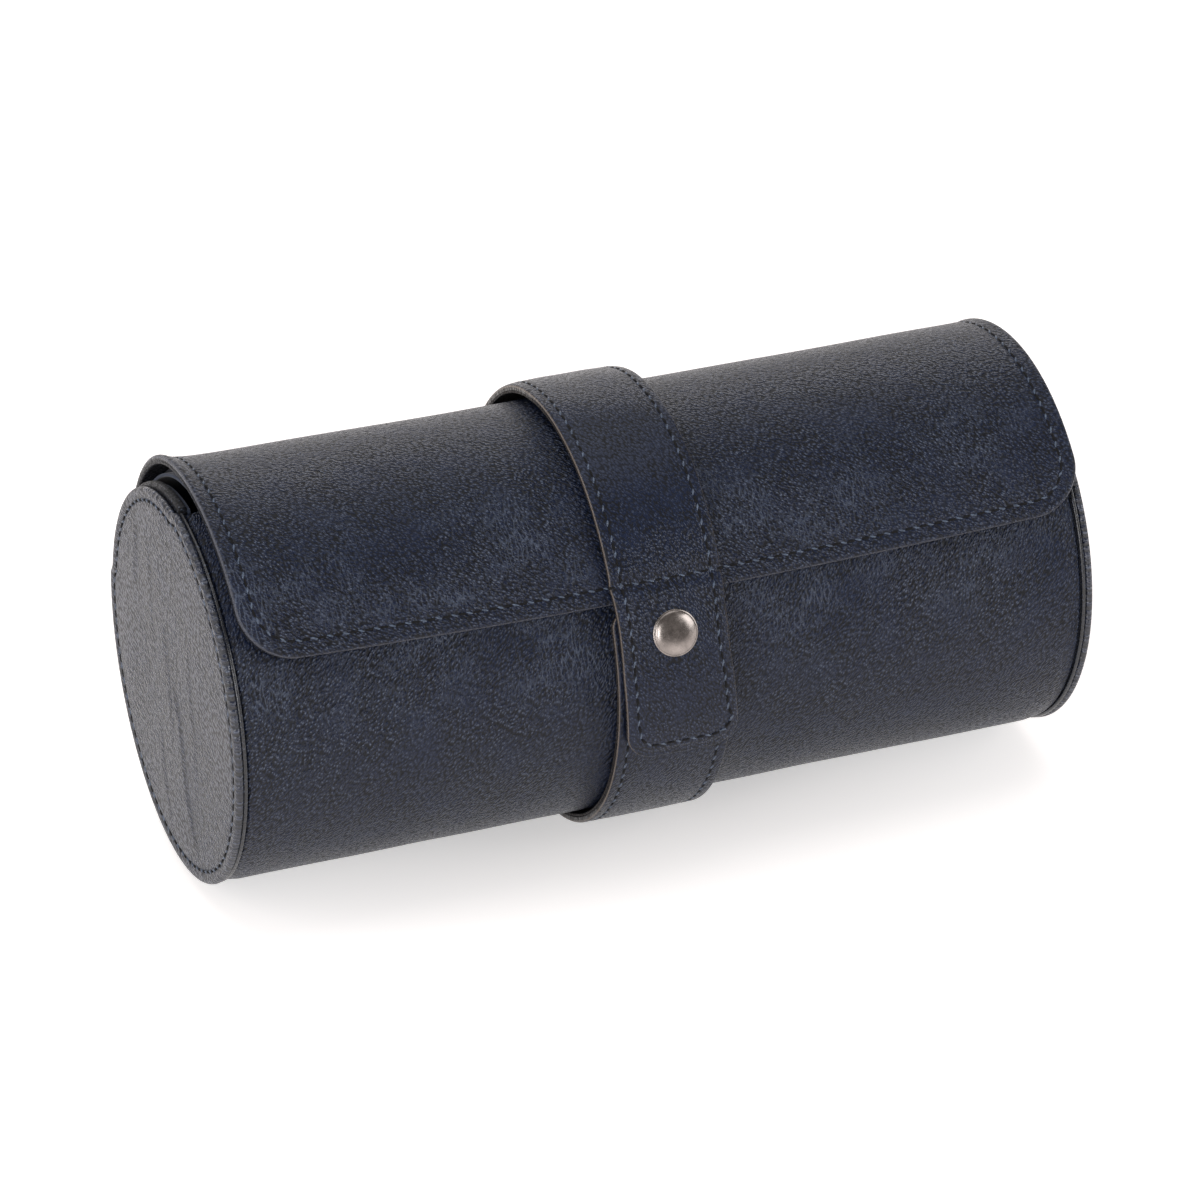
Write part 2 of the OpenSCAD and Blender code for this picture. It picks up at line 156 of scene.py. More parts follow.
@dataclass
class Rail:
    """A line in the end view that leather is wrapped on.

    Args:
        angles: Directions from the barrel's axis, in degrees, rising.
        radii: Distance of the leather's outer face in each direction, in mm.
        smooth: Width over which corners of the line are eased, in degrees.
    """

    angles: Array
    radii: Array
    smooth: float = 6.0
    s: Array = field(init=False)
    y: Array = field(init=False)
    z: Array = field(init=False)

    def __post_init__(self) -> None:
        """Eases the radii and measures the length along the line."""
        step = abs(self.angles[1] - self.angles[0])
        half = int(self.smooth / step)
        kernel = np.hanning(2 * half + 3)
        kernel /= kernel.sum()
        padded = np.pad(self.radii, half + 1, mode="reflect", reflect_type="odd")
        r = np.convolve(padded, kernel, mode="valid")
        a = np.radians(self.angles)
        self.y = r * np.cos(a)
        self.z = r * np.sin(a)
        self.s = np.concatenate([[0.0], np.cumsum(np.hypot(np.diff(self.y), np.diff(self.z)))])

    def at(self, angle: float) -> float:
        """Length along the line at a direction in degrees."""
        return float(np.interp(angle * self.way, self.angles * self.way, self.s))

    @property
    def way(self) -> float:
        """1 where directions rise along the line, -1 where they fall."""
        return float(np.sign(self.angles[1] - self.angles[0]))

    def angle(self, s: Array) -> Array:
        """Direction in degrees at a length along the line."""
        return np.interp(s, self.s, self.angles)

    def place(self, x: Array, s: Array, h: Array) -> Array:
        """Puts points of the flat pattern on the barrel.

        Args:
            x: Place along the barrel in mm.
            s: Length along the rail in mm.
            h: Height over the rail in mm, outwards.

        Returns:
            Points in metres, with a last axis of three. The line's normal is its tangent turned by
            a quarter.
        """
        ty = np.gradient(self.y, self.s)
        tz = np.gradient(self.z, self.s)
        ny = np.interp(s, self.s, tz)
        nz = -np.interp(s, self.s, ty)
        length = np.hypot(ny, nz) * self.way
        py = np.interp(s, self.s, self.y) + h * ny / length
        pz = np.interp(s, self.s, self.z) + h * nz / length + AXIS_Z
        return np.stack([x, py, pz], axis=-1) * MM


def rail_of(spans: list[tuple[float, float, Circle]], smooth: float = 6.0, falling: bool = False) -> Rail:
    """Joins spans of circles into one rail.

    Args:
        spans: Each span's first and last direction in degrees, and its circle.
        smooth: Width over which the joints are eased, in degrees.
        falling: Whether the line runs from the last direction to the first.

    Returns:
        The rail, sampled every quarter of a degree.
    """
    angles = np.arange(spans[0][0], spans[-1][1] + 1e-6, 0.25)
    radii = np.zeros_like(angles)
    for first, last, circle in spans:
        inside = (angles >= first - 1e-6) & (angles <= last + 1e-6)
        radii[inside] = circle.reach(angles[inside])
    return Rail(angles[::-1], radii[::-1], smooth) if falling else Rail(angles, radii, smooth)


# Meshes


def quads_of_grid(rows: int, columns: int, around: bool = False) -> Numbers:
    """Faces of a grid of points.

    Args:
        rows: Number of rows.
        columns: Number of columns.
        around: Whether the last column joins the first.

    Returns:
        One row of four point numbers a face.
    """
    last = columns if around else columns - 1
    i, j = np.meshgrid(np.arange(rows - 1), np.arange(last), indexing="ij")
    k = (j + 1) % columns
    a, b = i * columns + j, i * columns + k
    return np.stack([a, b, b + columns, a + columns], axis=-1).reshape(-1, 4)


def make_piece(
    name: str,
    points: Array,
    faces: Numbers,
    pattern: Array | None = None,
    shade: Array | None = None,
    weld: float = 2e-6,
) -> Piece:
    """Makes a smooth closed mesh in the scene.

    Args:
        name: The piece's name.
        points: Points in metres.
        faces: Four point numbers a face.
        pattern: Place of each point on the flat pattern, in metres, for the grain.
        shade: A value for each point that its material reads.
        weld: Distance under which points are merged, in metres.

    Returns:
        The new object, at the origin.
    """
    mesh = bpy.data.meshes.new(name)
    flat = points.reshape(-1, 3)
    mesh.from_pydata(flat, [], faces)
    if pattern is not None:
        layer = mesh.uv_layers.new(name=PATTERN_MAP)
        corner = np.empty(len(mesh.loops), np.int32)
        mesh.loops.foreach_get("vertex_index", corner)
        layer.uv.foreach_set("vector", pattern.reshape(-1, 2)[corner].astype(np.float32).ravel())
    if shade is not None:
        attribute = mesh.attributes.new(SHADE, "FLOAT", "POINT")
        attribute.data.foreach_set("value", shade.ravel().astype(np.float32))
    work = bmesh.new()
    work.from_mesh(mesh)
    bmesh.ops.remove_doubles(work, verts=work.verts, dist=weld)
    bmesh.ops.dissolve_degenerate(work, edges=work.edges, dist=weld / 4)
    bmesh.ops.recalc_face_normals(work, faces=work.faces)
    work.to_mesh(mesh)
    work.free()
    mesh.polygons.foreach_set("use_smooth", np.ones(len(mesh.polygons), bool))
    mesh.set_sharp_from_angle(angle=math.radians(55))
    mesh.update()
    piece = bpy.data.objects.new(name, mesh)
    bpy.context.scene.collection.objects.link(piece)
    return piece


def ramp(value: Array, low: float, high: float) -> Array:
    """Smooth step: 0 below low, 1 above high, with a level start and end."""
    t = np.clip((value - low) / (high - low), 0.0, 1.0)
    return t * t * (3.0 - 2.0 * t)


def bell(value: Array, middle: float, width: float) -> Array:
    """A bell curve of height 1."""
    return np.exp(-(((value - middle) / width) ** 2))


@dataclass(frozen=True)
class Ripples:
    """Gentle waves of leather that isn't held flat: a sum of sines in seeded directions.

    Args:
        seed: Start of the random draw.
        height: Height of the sum, in mm.
        length: Usual length of a wave, in mm.
        count: Number of sines.
    """

    seed: int
    height: float
    length: float
    count: int = 9

    def at(self, x: Array, s: Array) -> Array:
        """Height in mm at places of the flat pattern."""
        draw = np.random.default_rng(self.seed)
        turn = draw.uniform(0, math.pi, self.count)
        stretch = self.length * draw.uniform(0.6, 1.8, self.count)
        phase = draw.uniform(0, 2 * math.pi, self.count)
        total = np.zeros(np.broadcast(x, s).shape)
        for a, w, p in zip(turn, stretch, phase):
            total = total + np.sin(2 * math.pi * (x * math.cos(a) + s * math.sin(a)) / w + p)
        return total * self.height / math.sqrt(self.count)


def edge_at(edge: Edge, s: Array | float) -> Array:
    """Place across the leather at lengths s, on an edge given as (s, x)."""
    return np.interp(s, *np.array(edge, float).T)


@dataclass
class Pattern:
    """A flat cut of leather with a straight start and two round corners at its far end.

    Args:
        left: Left edge as a list of (s, x) in mm.
        right: Right edge as a list of (s, x) in mm.
        start: Where the cut starts, as a length along its rail.
        end: Where it ends.
        corner: Radius of the far corners.
        thickness: Thickness in mm.
        top_round: Rounding of the outer edge.
        under_round: Rounding of the inner edge.
        open_start: Whether the start is a joint with another cut, and so isn't rounded.
        open_end: Whether the end is such a joint.
        fine: Distance between grid lines beside an edge.
        coarse: Distance between them in the middle.
        margin: Width of the finely divided strip.
    """

    left: Edge
    right: Edge
    start: float
    end: float
    corner: float = 0.0
    thickness: float = 1.2
    top_round: float = 0.5
    under_round: float = 0.3
    open_start: bool = True
    open_end: bool = False
    fine: float = 0.42
    coarse: float = 2.2
    margin: float = 5.0

    def sides(self, s: Array) -> tuple[Array, Array]:
        """Left and right edge at s, drawn in by the round corners."""
        low, high = edge_at(self.left, s), edge_at(self.right, s)
        deep = np.clip(self.corner - (self.end - s), 0.0, self.corner)
        cut = self.corner - np.sqrt(np.maximum(self.corner**2 - deep**2, 0.0))
        return low + cut, high - cut

    def inside(self, x: Array, s: Array) -> Array:
        """Distance to the nearest edge: from the corner's arc near a corner, else from a side."""
        low, high = edge_at(self.left, s), edge_at(self.right, s)
        side = np.minimum(x - low, high - x)
        tip = self.end - s if not self.open_end else np.full_like(s, 1e3)
        base = s - self.start if not self.open_start else np.full_like(s, 1e3)
        square = np.minimum(side, tip)
        r = self.corner
        arc = r - np.hypot(np.maximum(r - side, 0.0), np.maximum(r - tip, 0.0))
        near = (side < r) & (tip < r)
        return np.minimum(np.where(near, arc, square), base)

    def stops(self, total: float, first: bool, last: bool, near: float) -> Array:
        """Grid lines from 0 to total, close together at an edge and wide apart in the middle.

        Args:
            total: Length to divide.
            first: Whether the lines crowd at 0.
            last: Whether they crowd at total.
            near: Width of the strip beside an edge that is finely divided.

        Returns:
            The rising places of the lines.
        """
        turn = np.linspace(0, math.pi / 2, 6)
        r = max(self.top_round, self.under_round)
        edge = np.concatenate([r * (1 - np.cos(turn)), np.arange(r + self.fine, near, self.fine)])
        edge = edge[edge < total / 2]
        parts = [np.array([0.0, total])]
        low, high = 0.0, total
        if first:
            parts.append(edge)
            low = edge[-1]
        if last:
            parts.append(total - edge)
            high = total - edge[-1]
        count = max(int((high - low) / self.coarse), 2)
        parts.append(np.linspace(low, high, count + 1))
        lines = np.sort(np.concatenate(parts))
        return lines[np.concatenate([[True], np.diff(lines) > 1e-3])]

    def grid(self) -> tuple[Array, Array]:
        """The grid's places on the pattern, as x and s for each row and column."""
        near = max(self.corner, self.margin)
        s = self.start + self.stops(self.end - self.start, not self.open_start, not self.open_end, near)
        if self.corner:
            turn = np.radians(np.arange(0, 90, 6))
            s = np.unique(np.round(np.concatenate([s, self.end - self.corner * (1 - np.sin(turn))]), 4))
            s = s[np.concatenate([[True], np.diff(s) > 0.02])]
            s[-1] = self.end
        low, high = self.sides(s)
        width = float(np.max(high - low))
        u = self.stops(width, True, True, self.margin + 1.0) / width
        x = low[:, None] + (high - low)[:, None] * u[None, :]
        return x, np.broadcast_to(s[:, None], x.shape).copy()


def wrap(
    name: str,
    rail: Rail,
    cut: Pattern,
    relief: Relief | None = None,
    shift: Relief | None = None,
    drop: float = 0.0,
    under: Relief | None = None,
) -> Piece:
    """Wraps a cut of leather on its rail as a closed mesh.

    The outer face lies at the rail, lower by a quarter circle at its edges, plus the relief. The
    inner face lies a thickness below it and is rounded alike, and a strip joins the two. The shade
    is the distance from the edge on the outer face and -1 on the inner one. Nothing goes below the
    floor.

    Args:
        name: The piece's name.
        rail: The line of the outer face.
        cut: The flat pattern.
        relief: Height added to the outer face at (x, s), in mm.
        shift: Length added to s at (x, s), in mm.
        drop: How far the whole piece lies below the rail, in mm.
        under: Height added to the inner face, where it isn't the relief.

    Returns:
        The new piece.
    """
    x, s = cut.grid()
    edge = np.maximum(cut.inside(x, s), 0.0)
    high = relief(x, s) if relief else np.zeros_like(x)
    low = under(x, s) if under else high

    def lowered(radius: float) -> Array:
        """Depth of a quarter round of the given radius at each point's distance from the edge."""
        t = 1.0 - np.clip(edge / radius, 0.0, 1.0)
        return radius * (1.0 - np.sqrt(np.maximum(1.0 - t * t, 0.0)))

    top = high - lowered(cut.top_round) - drop
    bottom = low - cut.thickness + lowered(cut.under_round) - drop
    bottom = np.minimum(bottom, top - 0.05)
    flat_s = s + shift(x, s) if shift else s
    outer = rail.place(x, flat_s, top)
    inner = rail.place(x, flat_s, bottom)
    rows, columns = x.shape
    count = rows * columns
    faces = quads_of_grid(rows, columns)
    number = np.arange(count).reshape(rows, columns)
    loop = np.concatenate([number[0, :-1], number[:-1, -1], number[-1, :0:-1], number[:0:-1, 0]])
    following = np.roll(loop, -1)
    rim = np.stack([loop, loop + count, following + count, following], axis=-1)
    points = np.concatenate([outer.reshape(-1, 3), inner.reshape(-1, 3)])
    points[:, 2] = np.maximum(points[:, 2], 0.0)
    where = np.stack([x, flat_s], axis=-1).reshape(-1, 2) * MM
    shade = np.concatenate([np.clip(edge, 0, 3).ravel(), np.full(count, -1.0)])
    return make_piece(
        name,
        points,
        np.concatenate([faces, faces[:, ::-1] + count, rim]),
        np.concatenate([where, where]),
        shade,
    )


@dataclass(frozen=True)
class Thread:
    """Machine stitches: short twisted strands that dive into holes painted dark as their shade.

    Args:
        pitch: Length of one stitch and its gap, in mm.
        length: Visible length of the strand.
        radius: Radius of the strand.
        slant: Turn of a strand against the line, in degrees.
        lift: Height of the strand's middle over the leather.
        sink: How deep the whole strand is drawn in.
        hole_half: Half the length of a hole.
        hole_radius: Radius of a hole.
        hole_lift: Height of a hole over the leather.
        hole_flat: Height of a hole's section, as a share of its width.
    """

    pitch: float = 3.5
    length: float = 1.7
    radius: float = 0.25
    slant: float = 20.0
    lift: float = 0.12
    sink: float = 0.12
    hole_half: float = 1.0
    hole_radius: float = 0.36
    hole_lift: float = -0.02
    hole_flat: float = 0.75

    def sew(self, name: str, path: Array, normal: Array) -> Piece:
        """Sews along a path.

        A strand's section has two lobes that turn along it, it thins to a point at both ends and
        bows over the leather. A flat bead lies in each gap as the hole; its material paints it dark as the
        hole's shade.

        Args:
            name: The piece's name.
            path: Points along the seam in metres, closely spaced.
            normal: The leather's outward direction at each point.

        Returns:
            The thread, with a shade of 1 on strands and 0 in holes.
        """
        step = np.linalg.norm(np.diff(path, axis=0), axis=1)
        run = np.concatenate([[0.0], np.cumsum(step)]) / MM
        count = max(int(run[-1] / self.pitch), 1)
        pitch = run[-1] / count
        middle = (np.arange(count) + 0.5) * pitch
        strands = self.beads(run, path, normal, middle, self.length / 2, self.radius, self.lift, True)
        gaps = np.arange(count + 1) * pitch
        holes = self.beads(
            run, path, normal, gaps, self.hole_half, self.hole_radius, self.hole_lift, False
        )
        points = np.concatenate([strands[0], holes[0]])
        faces = np.concatenate([strands[1], holes[1] + len(strands[0])])
        shade = np.concatenate([np.ones(len(strands[0])), np.zeros(len(holes[0]))])
        points[:, 2] = np.maximum(points[:, 2], 0.0)
        return make_piece(name, points, faces, None, shade, 1e-6)

    def beads(
        self,
        run: Array,
        path: Array,
        normal: Array,
        middle: Array,
        half: float,
        radius: float,
        lift: float,
        twisted: bool,
    ) -> tuple[Array, Numbers]:
        """Points and faces of beads along a path, each a swept ring that closes at both ends."""
        rings, sides = (9, 6) if twisted else (5, 6)
        t = np.sin(np.linspace(-math.pi / 2, math.pi / 2, rings))
        turn = np.linspace(0, 2 * math.pi, sides, endpoint=False)

        def along(values: Array, at: Array) -> Array:
            """Values of the path at given lengths."""
            return np.stack([np.interp(at, run, values[:, k]) for k in range(3)], axis=-1)

        p = along(path, middle)
        n = along(normal, middle)
        n /= np.linalg.norm(n, axis=1, keepdims=True)
        tangent = along(path, middle + 0.3) - along(path, middle - 0.3)
        tangent -= n * np.sum(tangent * n, axis=1, keepdims=True)
        tangent /= np.linalg.norm(tangent, axis=1, keepdims=True)
        side = np.cross(tangent, n)
        slant = math.radians(self.slant) if twisted else 0.0
        line = tangent * math.cos(slant) + side * math.sin(slant)
        across = side * math.cos(slant) - tangent * math.sin(slant)
        wide = radius * np.sqrt(np.maximum(1.0 - t**4, 0.0))
        if twisted:
            ring = wide[:, None] * (1.0 + 0.22 * np.cos(2 * (turn[None, :] - 2.6 * t[:, None])))
            bow = lift * (1.0 - t**2) - self.sink
            flat = 1.0
        else:
            ring = np.broadcast_to(wide[:, None], (rings, sides))
            bow = np.full_like(t, lift)
            flat = self.hole_flat
        points = (
            p[:, None, None, :]
            + line[:, None, None, :] * (t * half)[None, :, None, None] * MM
            + across[:, None, None, :] * (ring * np.cos(turn))[None, :, :, None] * MM
            + n[:, None, None, :] * (ring * np.sin(turn) * flat + bow[:, None])[None, :, :, None] * MM
        )
        one = quads_of_grid(rings, sides, True)
        start = np.arange(len(middle))[:, None, None] * rings * sides
        return points.reshape(-1, 3), (one[None] + start).reshape(-1, 4)


def revolve(
    name: str,
    profile: list[tuple[float, float]],
    origin: Array,
    axis: Array,
    side: Array,
    sides: int = 96,
) -> Piece:
    """Turns a profile about an axis.

    Args:
        name: The piece's name.
        profile: Radius and height of each point in mm, closed on the axis at both ends.
        origin: Foot of the axis in metres.
        axis: Unit direction of the axis.
        side: Any unit direction square to it.
        sides: Number of steps round.

    Returns:
        The new piece.
    """
    r, h = np.array(profile, float).T * MM
    turn = np.linspace(0, 2 * math.pi, sides, endpoint=False)
    other = np.cross(axis, side)
    circle = side * np.cos(turn)[:, None] + other * np.sin(turn)[:, None]
    points = origin + r[:, None, None] * circle[None] + h[:, None, None] * axis
    return make_piece(name, points, quads_of_grid(len(r), sides, True))


def panel(
    name: str,
    outline: Array,
    x_out: float,
    x_in: float,
    edge: float,
    relief: Relief | None = None,
    rings: int = 30,
) -> Piece:
    """Makes a flat panel that stands across the barrel.

    Its two faces are rings of the outline that shrink to the middle, closest together at the rim,
    and its rim is rounded on both sides. Nothing goes below the floor.

    Args:
        name: The piece's name.
        outline: Closed outline as (y, z) in mm from the barrel's axis.
        x_out: Place of the outer face along the barrel, in mm.
        x_in: Place of the inner face.
        edge: Rounding of the rim.
        relief: Height added to the outer face, by distance from the rim and by (y, z).
        rings: Number of rings of a face.

    Returns:
        The new piece.
    """
    middle = outline.mean(axis=0)
    radius = float(np.hypot(*(outline - middle).T).mean())
    rim = edge * (1 - np.cos(np.linspace(0, math.pi / 2, 7)))
    fine = np.arange(edge, min(7.0, radius / 2), 0.4)
    depth = np.unique(np.round(np.concatenate([rim, fine, np.linspace(fine[-1], radius, rings)]), 4))
    share = 1.0 - depth / radius
    ring = middle + (outline - middle)[None] * share[:, None, None]
    drop = edge * (1 - np.sqrt(np.maximum(1 - (1 - np.clip(depth / edge, 0, 1)) ** 2, 0)))
    way = 1.0 if x_out > x_in else -1.0
    bulge = np.zeros(ring.shape[:2]) + (relief(depth[:, None], ring) if relief else 0.0)
    out_x = x_out + way * (bulge - drop[:, None])
    in_x = np.broadcast_to(x_in + way * drop[:, None], out_x.shape)
    front = np.concatenate([out_x[..., None], ring], axis=-1)
    back = np.concatenate([in_x[..., None], ring], axis=-1)
    both = np.concatenate([front[::-1], back]) * MM
    both[..., 2] += AXIS_Z * MM
    both[..., 2] = np.maximum(both[..., 2], 0.0)
    faces = quads_of_grid(len(both), len(outline), True)
    return make_piece(name, both, faces, both[..., 1:])


def cord(
    name: str,
    path: Array,
    normal: Array,
    radius: float,
    lobe: float = 0.0,
    pitch: float = 1.6,
    closed: bool = False,
) -> Piece:
    """Sweeps a round or two-lobed, twisted section along a path.

    Args:
        name: The piece's name.
        path: Points in metres.
        normal: Outward direction at each point.
        radius: Radius in mm.
        lobe: Share by which the section's two lobes stand out.
        pitch: Length of one turn of the twist, in mm.
        closed: Whether the path closes on itself; otherwise the ends are closed to a point.

    Returns:
        The new piece.
    """
    tangent = np.gradient(path, axis=0)
    tangent /= np.linalg.norm(tangent, axis=1, keepdims=True)
    side = np.cross(tangent, normal)
    run = np.concatenate([[0.0], np.cumsum(np.linalg.norm(np.diff(path, axis=0), axis=1))]) / MM
    turn = np.linspace(0, 2 * math.pi, 8, endpoint=False)
    wide = radius * (1.0 + lobe * np.cos(2 * (turn[None, :] - math.pi * run[:, None] / pitch)))
    if not closed:
        wide[[0, -1]] = 0.0
    points = path[:, None] + MM * wide[..., None] * (
        side[:, None] * np.cos(turn)[None, :, None] + normal[:, None] * np.sin(turn)[None, :, None]
    )
    faces = quads_of_grid(len(path), 8, True)
    return make_piece(name, points, faces)


# Finishes


class Tree:
    """A node tree, built with short calls."""

    def __init__(self, tree: bpy.types.NodeTree) -> None:
        """Takes over the node tree of a material or a world, and empties it."""
        self.tree = tree
        self.tree.nodes.clear()

    def link(self, source: Socket, target: Socket) -> None:
        """Joins two sockets."""
        self.tree.links.new(source, target)

    def give(self, node: bpy.types.Node, name: str, value: object) -> None:
        """Links an output to a node's input, or sets the input's constant.

        Args:
            node: The node.
            name: The input's name with spaces as underscores, or its number.
            value: Another node's output, or a constant.
        """
        socket = node.inputs[int(name)] if name.isdigit() else node.inputs[name.replace("_", " ")]
        if isinstance(value, Socket):
            self.link(value, socket)
        else:
            socket.default_value = value

    def add(self, kind: str, **values: object) -> bpy.types.Node:
        """Adds a node and sets its properties and its inputs, by name or number.

        Args:
            kind: The node's type without its common prefix.
            values: Properties, or inputs as "in_NAME" with spaces as underscores.

        Returns:
            The new node.
        """
        node = self.tree.nodes.new("ShaderNode" + kind)
        for key, value in values.items():
            if not key.startswith("in_"):
                setattr(node, key, value)
        for key, value in values.items():
            if key.startswith("in_"):
                self.give(node, key[3:], value)
        return node

    def math(self, operation: str, *values: object) -> Socket:
        """A Math node's result."""
        keyed = {f"in_{k}": v for k, v in enumerate(values)}
        return self.add("Math", operation=operation, **keyed).outputs[0]

    def ramp(self, value: Socket, low: float, high: float, first: float, last: float) -> Socket:
        """A clamped Map Range of a value."""
        return self.add(
            "MapRange", in_Value=value, in_From_Min=low, in_From_Max=high, in_To_Min=first, in_To_Max=last
        ).outputs[0]

    def mix(self, share: object, first: object, second: object) -> Socket:
        """A mixed colour."""
        return self.add("Mix", data_type="RGBA", in_0=share, in_6=first, in_7=second).outputs[2]

    def place(self, on_pattern: bool, stretch: Triple = (1, 1, 1), turn: float = 0.0) -> Socket:
        """Coordinates in metres, on the flat pattern or on the object, stretched and turned."""
        if on_pattern:
            start = self.add("UVMap", uv_map=PATTERN_MAP).outputs[0]
        else:
            start = self.add("TexCoord").outputs["Object"]
        return self.add(
            "Mapping", vector_type="TEXTURE", in_Vector=start, in_Scale=stretch, in_Rotation=(0, 0, turn)
        ).outputs[0]

    def noise(self, at: Socket, scale: float, detail: float, **more: float) -> Socket:
        """A noise's value.

        Args:
            at: Coordinates in metres.
            scale: Its scale, in waves a metre.
            detail: Number of finer layers.
            more: Further inputs, named as for add.

        Returns:
            The value's socket.
        """
        return self.add("TexNoise", in_Vector=at, in_Scale=scale, in_Detail=detail, **more).outputs[0]

    def drift(self, at: Socket, over: Socket, scale: float, reach: Triple) -> Socket:
        """Coordinates moved about by a noise's colour.

        Args:
            at: The coordinates that are moved.
            over: The coordinates that the noise is read at.
            scale: Scale of the noise, in waves a metre.
            reach: How far it moves them along each axis, in mm.

        Returns:
            The moved coordinates.
        """
        colour = self.add("TexNoise", in_Vector=over, in_Scale=scale, in_Detail=3.0).outputs["Color"]
        by = tuple(part * MM for part in reach)
        return self.add("VectorMath", operation="MULTIPLY_ADD", in_0=colour, in_1=by, in_2=at).outputs[0]

    def bump(self, height: Socket, distance: float, strength: float, before: Socket | None = None) -> Socket:
        """A Bump node's normal, on top of another one."""
        node = self.add("Bump", in_Height=height, in_Distance=distance, in_Strength=strength)
        if before is not None:
            self.link(before, node.inputs["Normal"])
        return node.outputs[0]


class Nodes(Tree):
    """A material's node tree, round one Principled shader."""

    def __init__(self, name: str) -> None:
        """Starts an empty material with one Principled shader."""
        self.material = bpy.data.materials.new(name)
        self.material.use_nodes = True
        super().__init__(self.material.node_tree)
        self.shader = self.add("BsdfPrincipled")
        self.output = self.add("OutputMaterial")
        self.link(self.shader.outputs[0], self.output.inputs[0])

    def surface(self, **values: object) -> bpy.types.Material:
        """Sets or links the shader's inputs, by name with spaces as underscores.

        Returns:
            The material.
        """
        for name, value in values.items():
            self.give(self.shader, name, value)
        return self.material


def opaque(colour: Colour, share: float = 1.0) -> tuple[float, float, float, float]:
    """A colour with its lightness scaled and an alpha of 1."""
    return (colour[0] * share, colour[1] * share, colour[2] * share, 1.0)


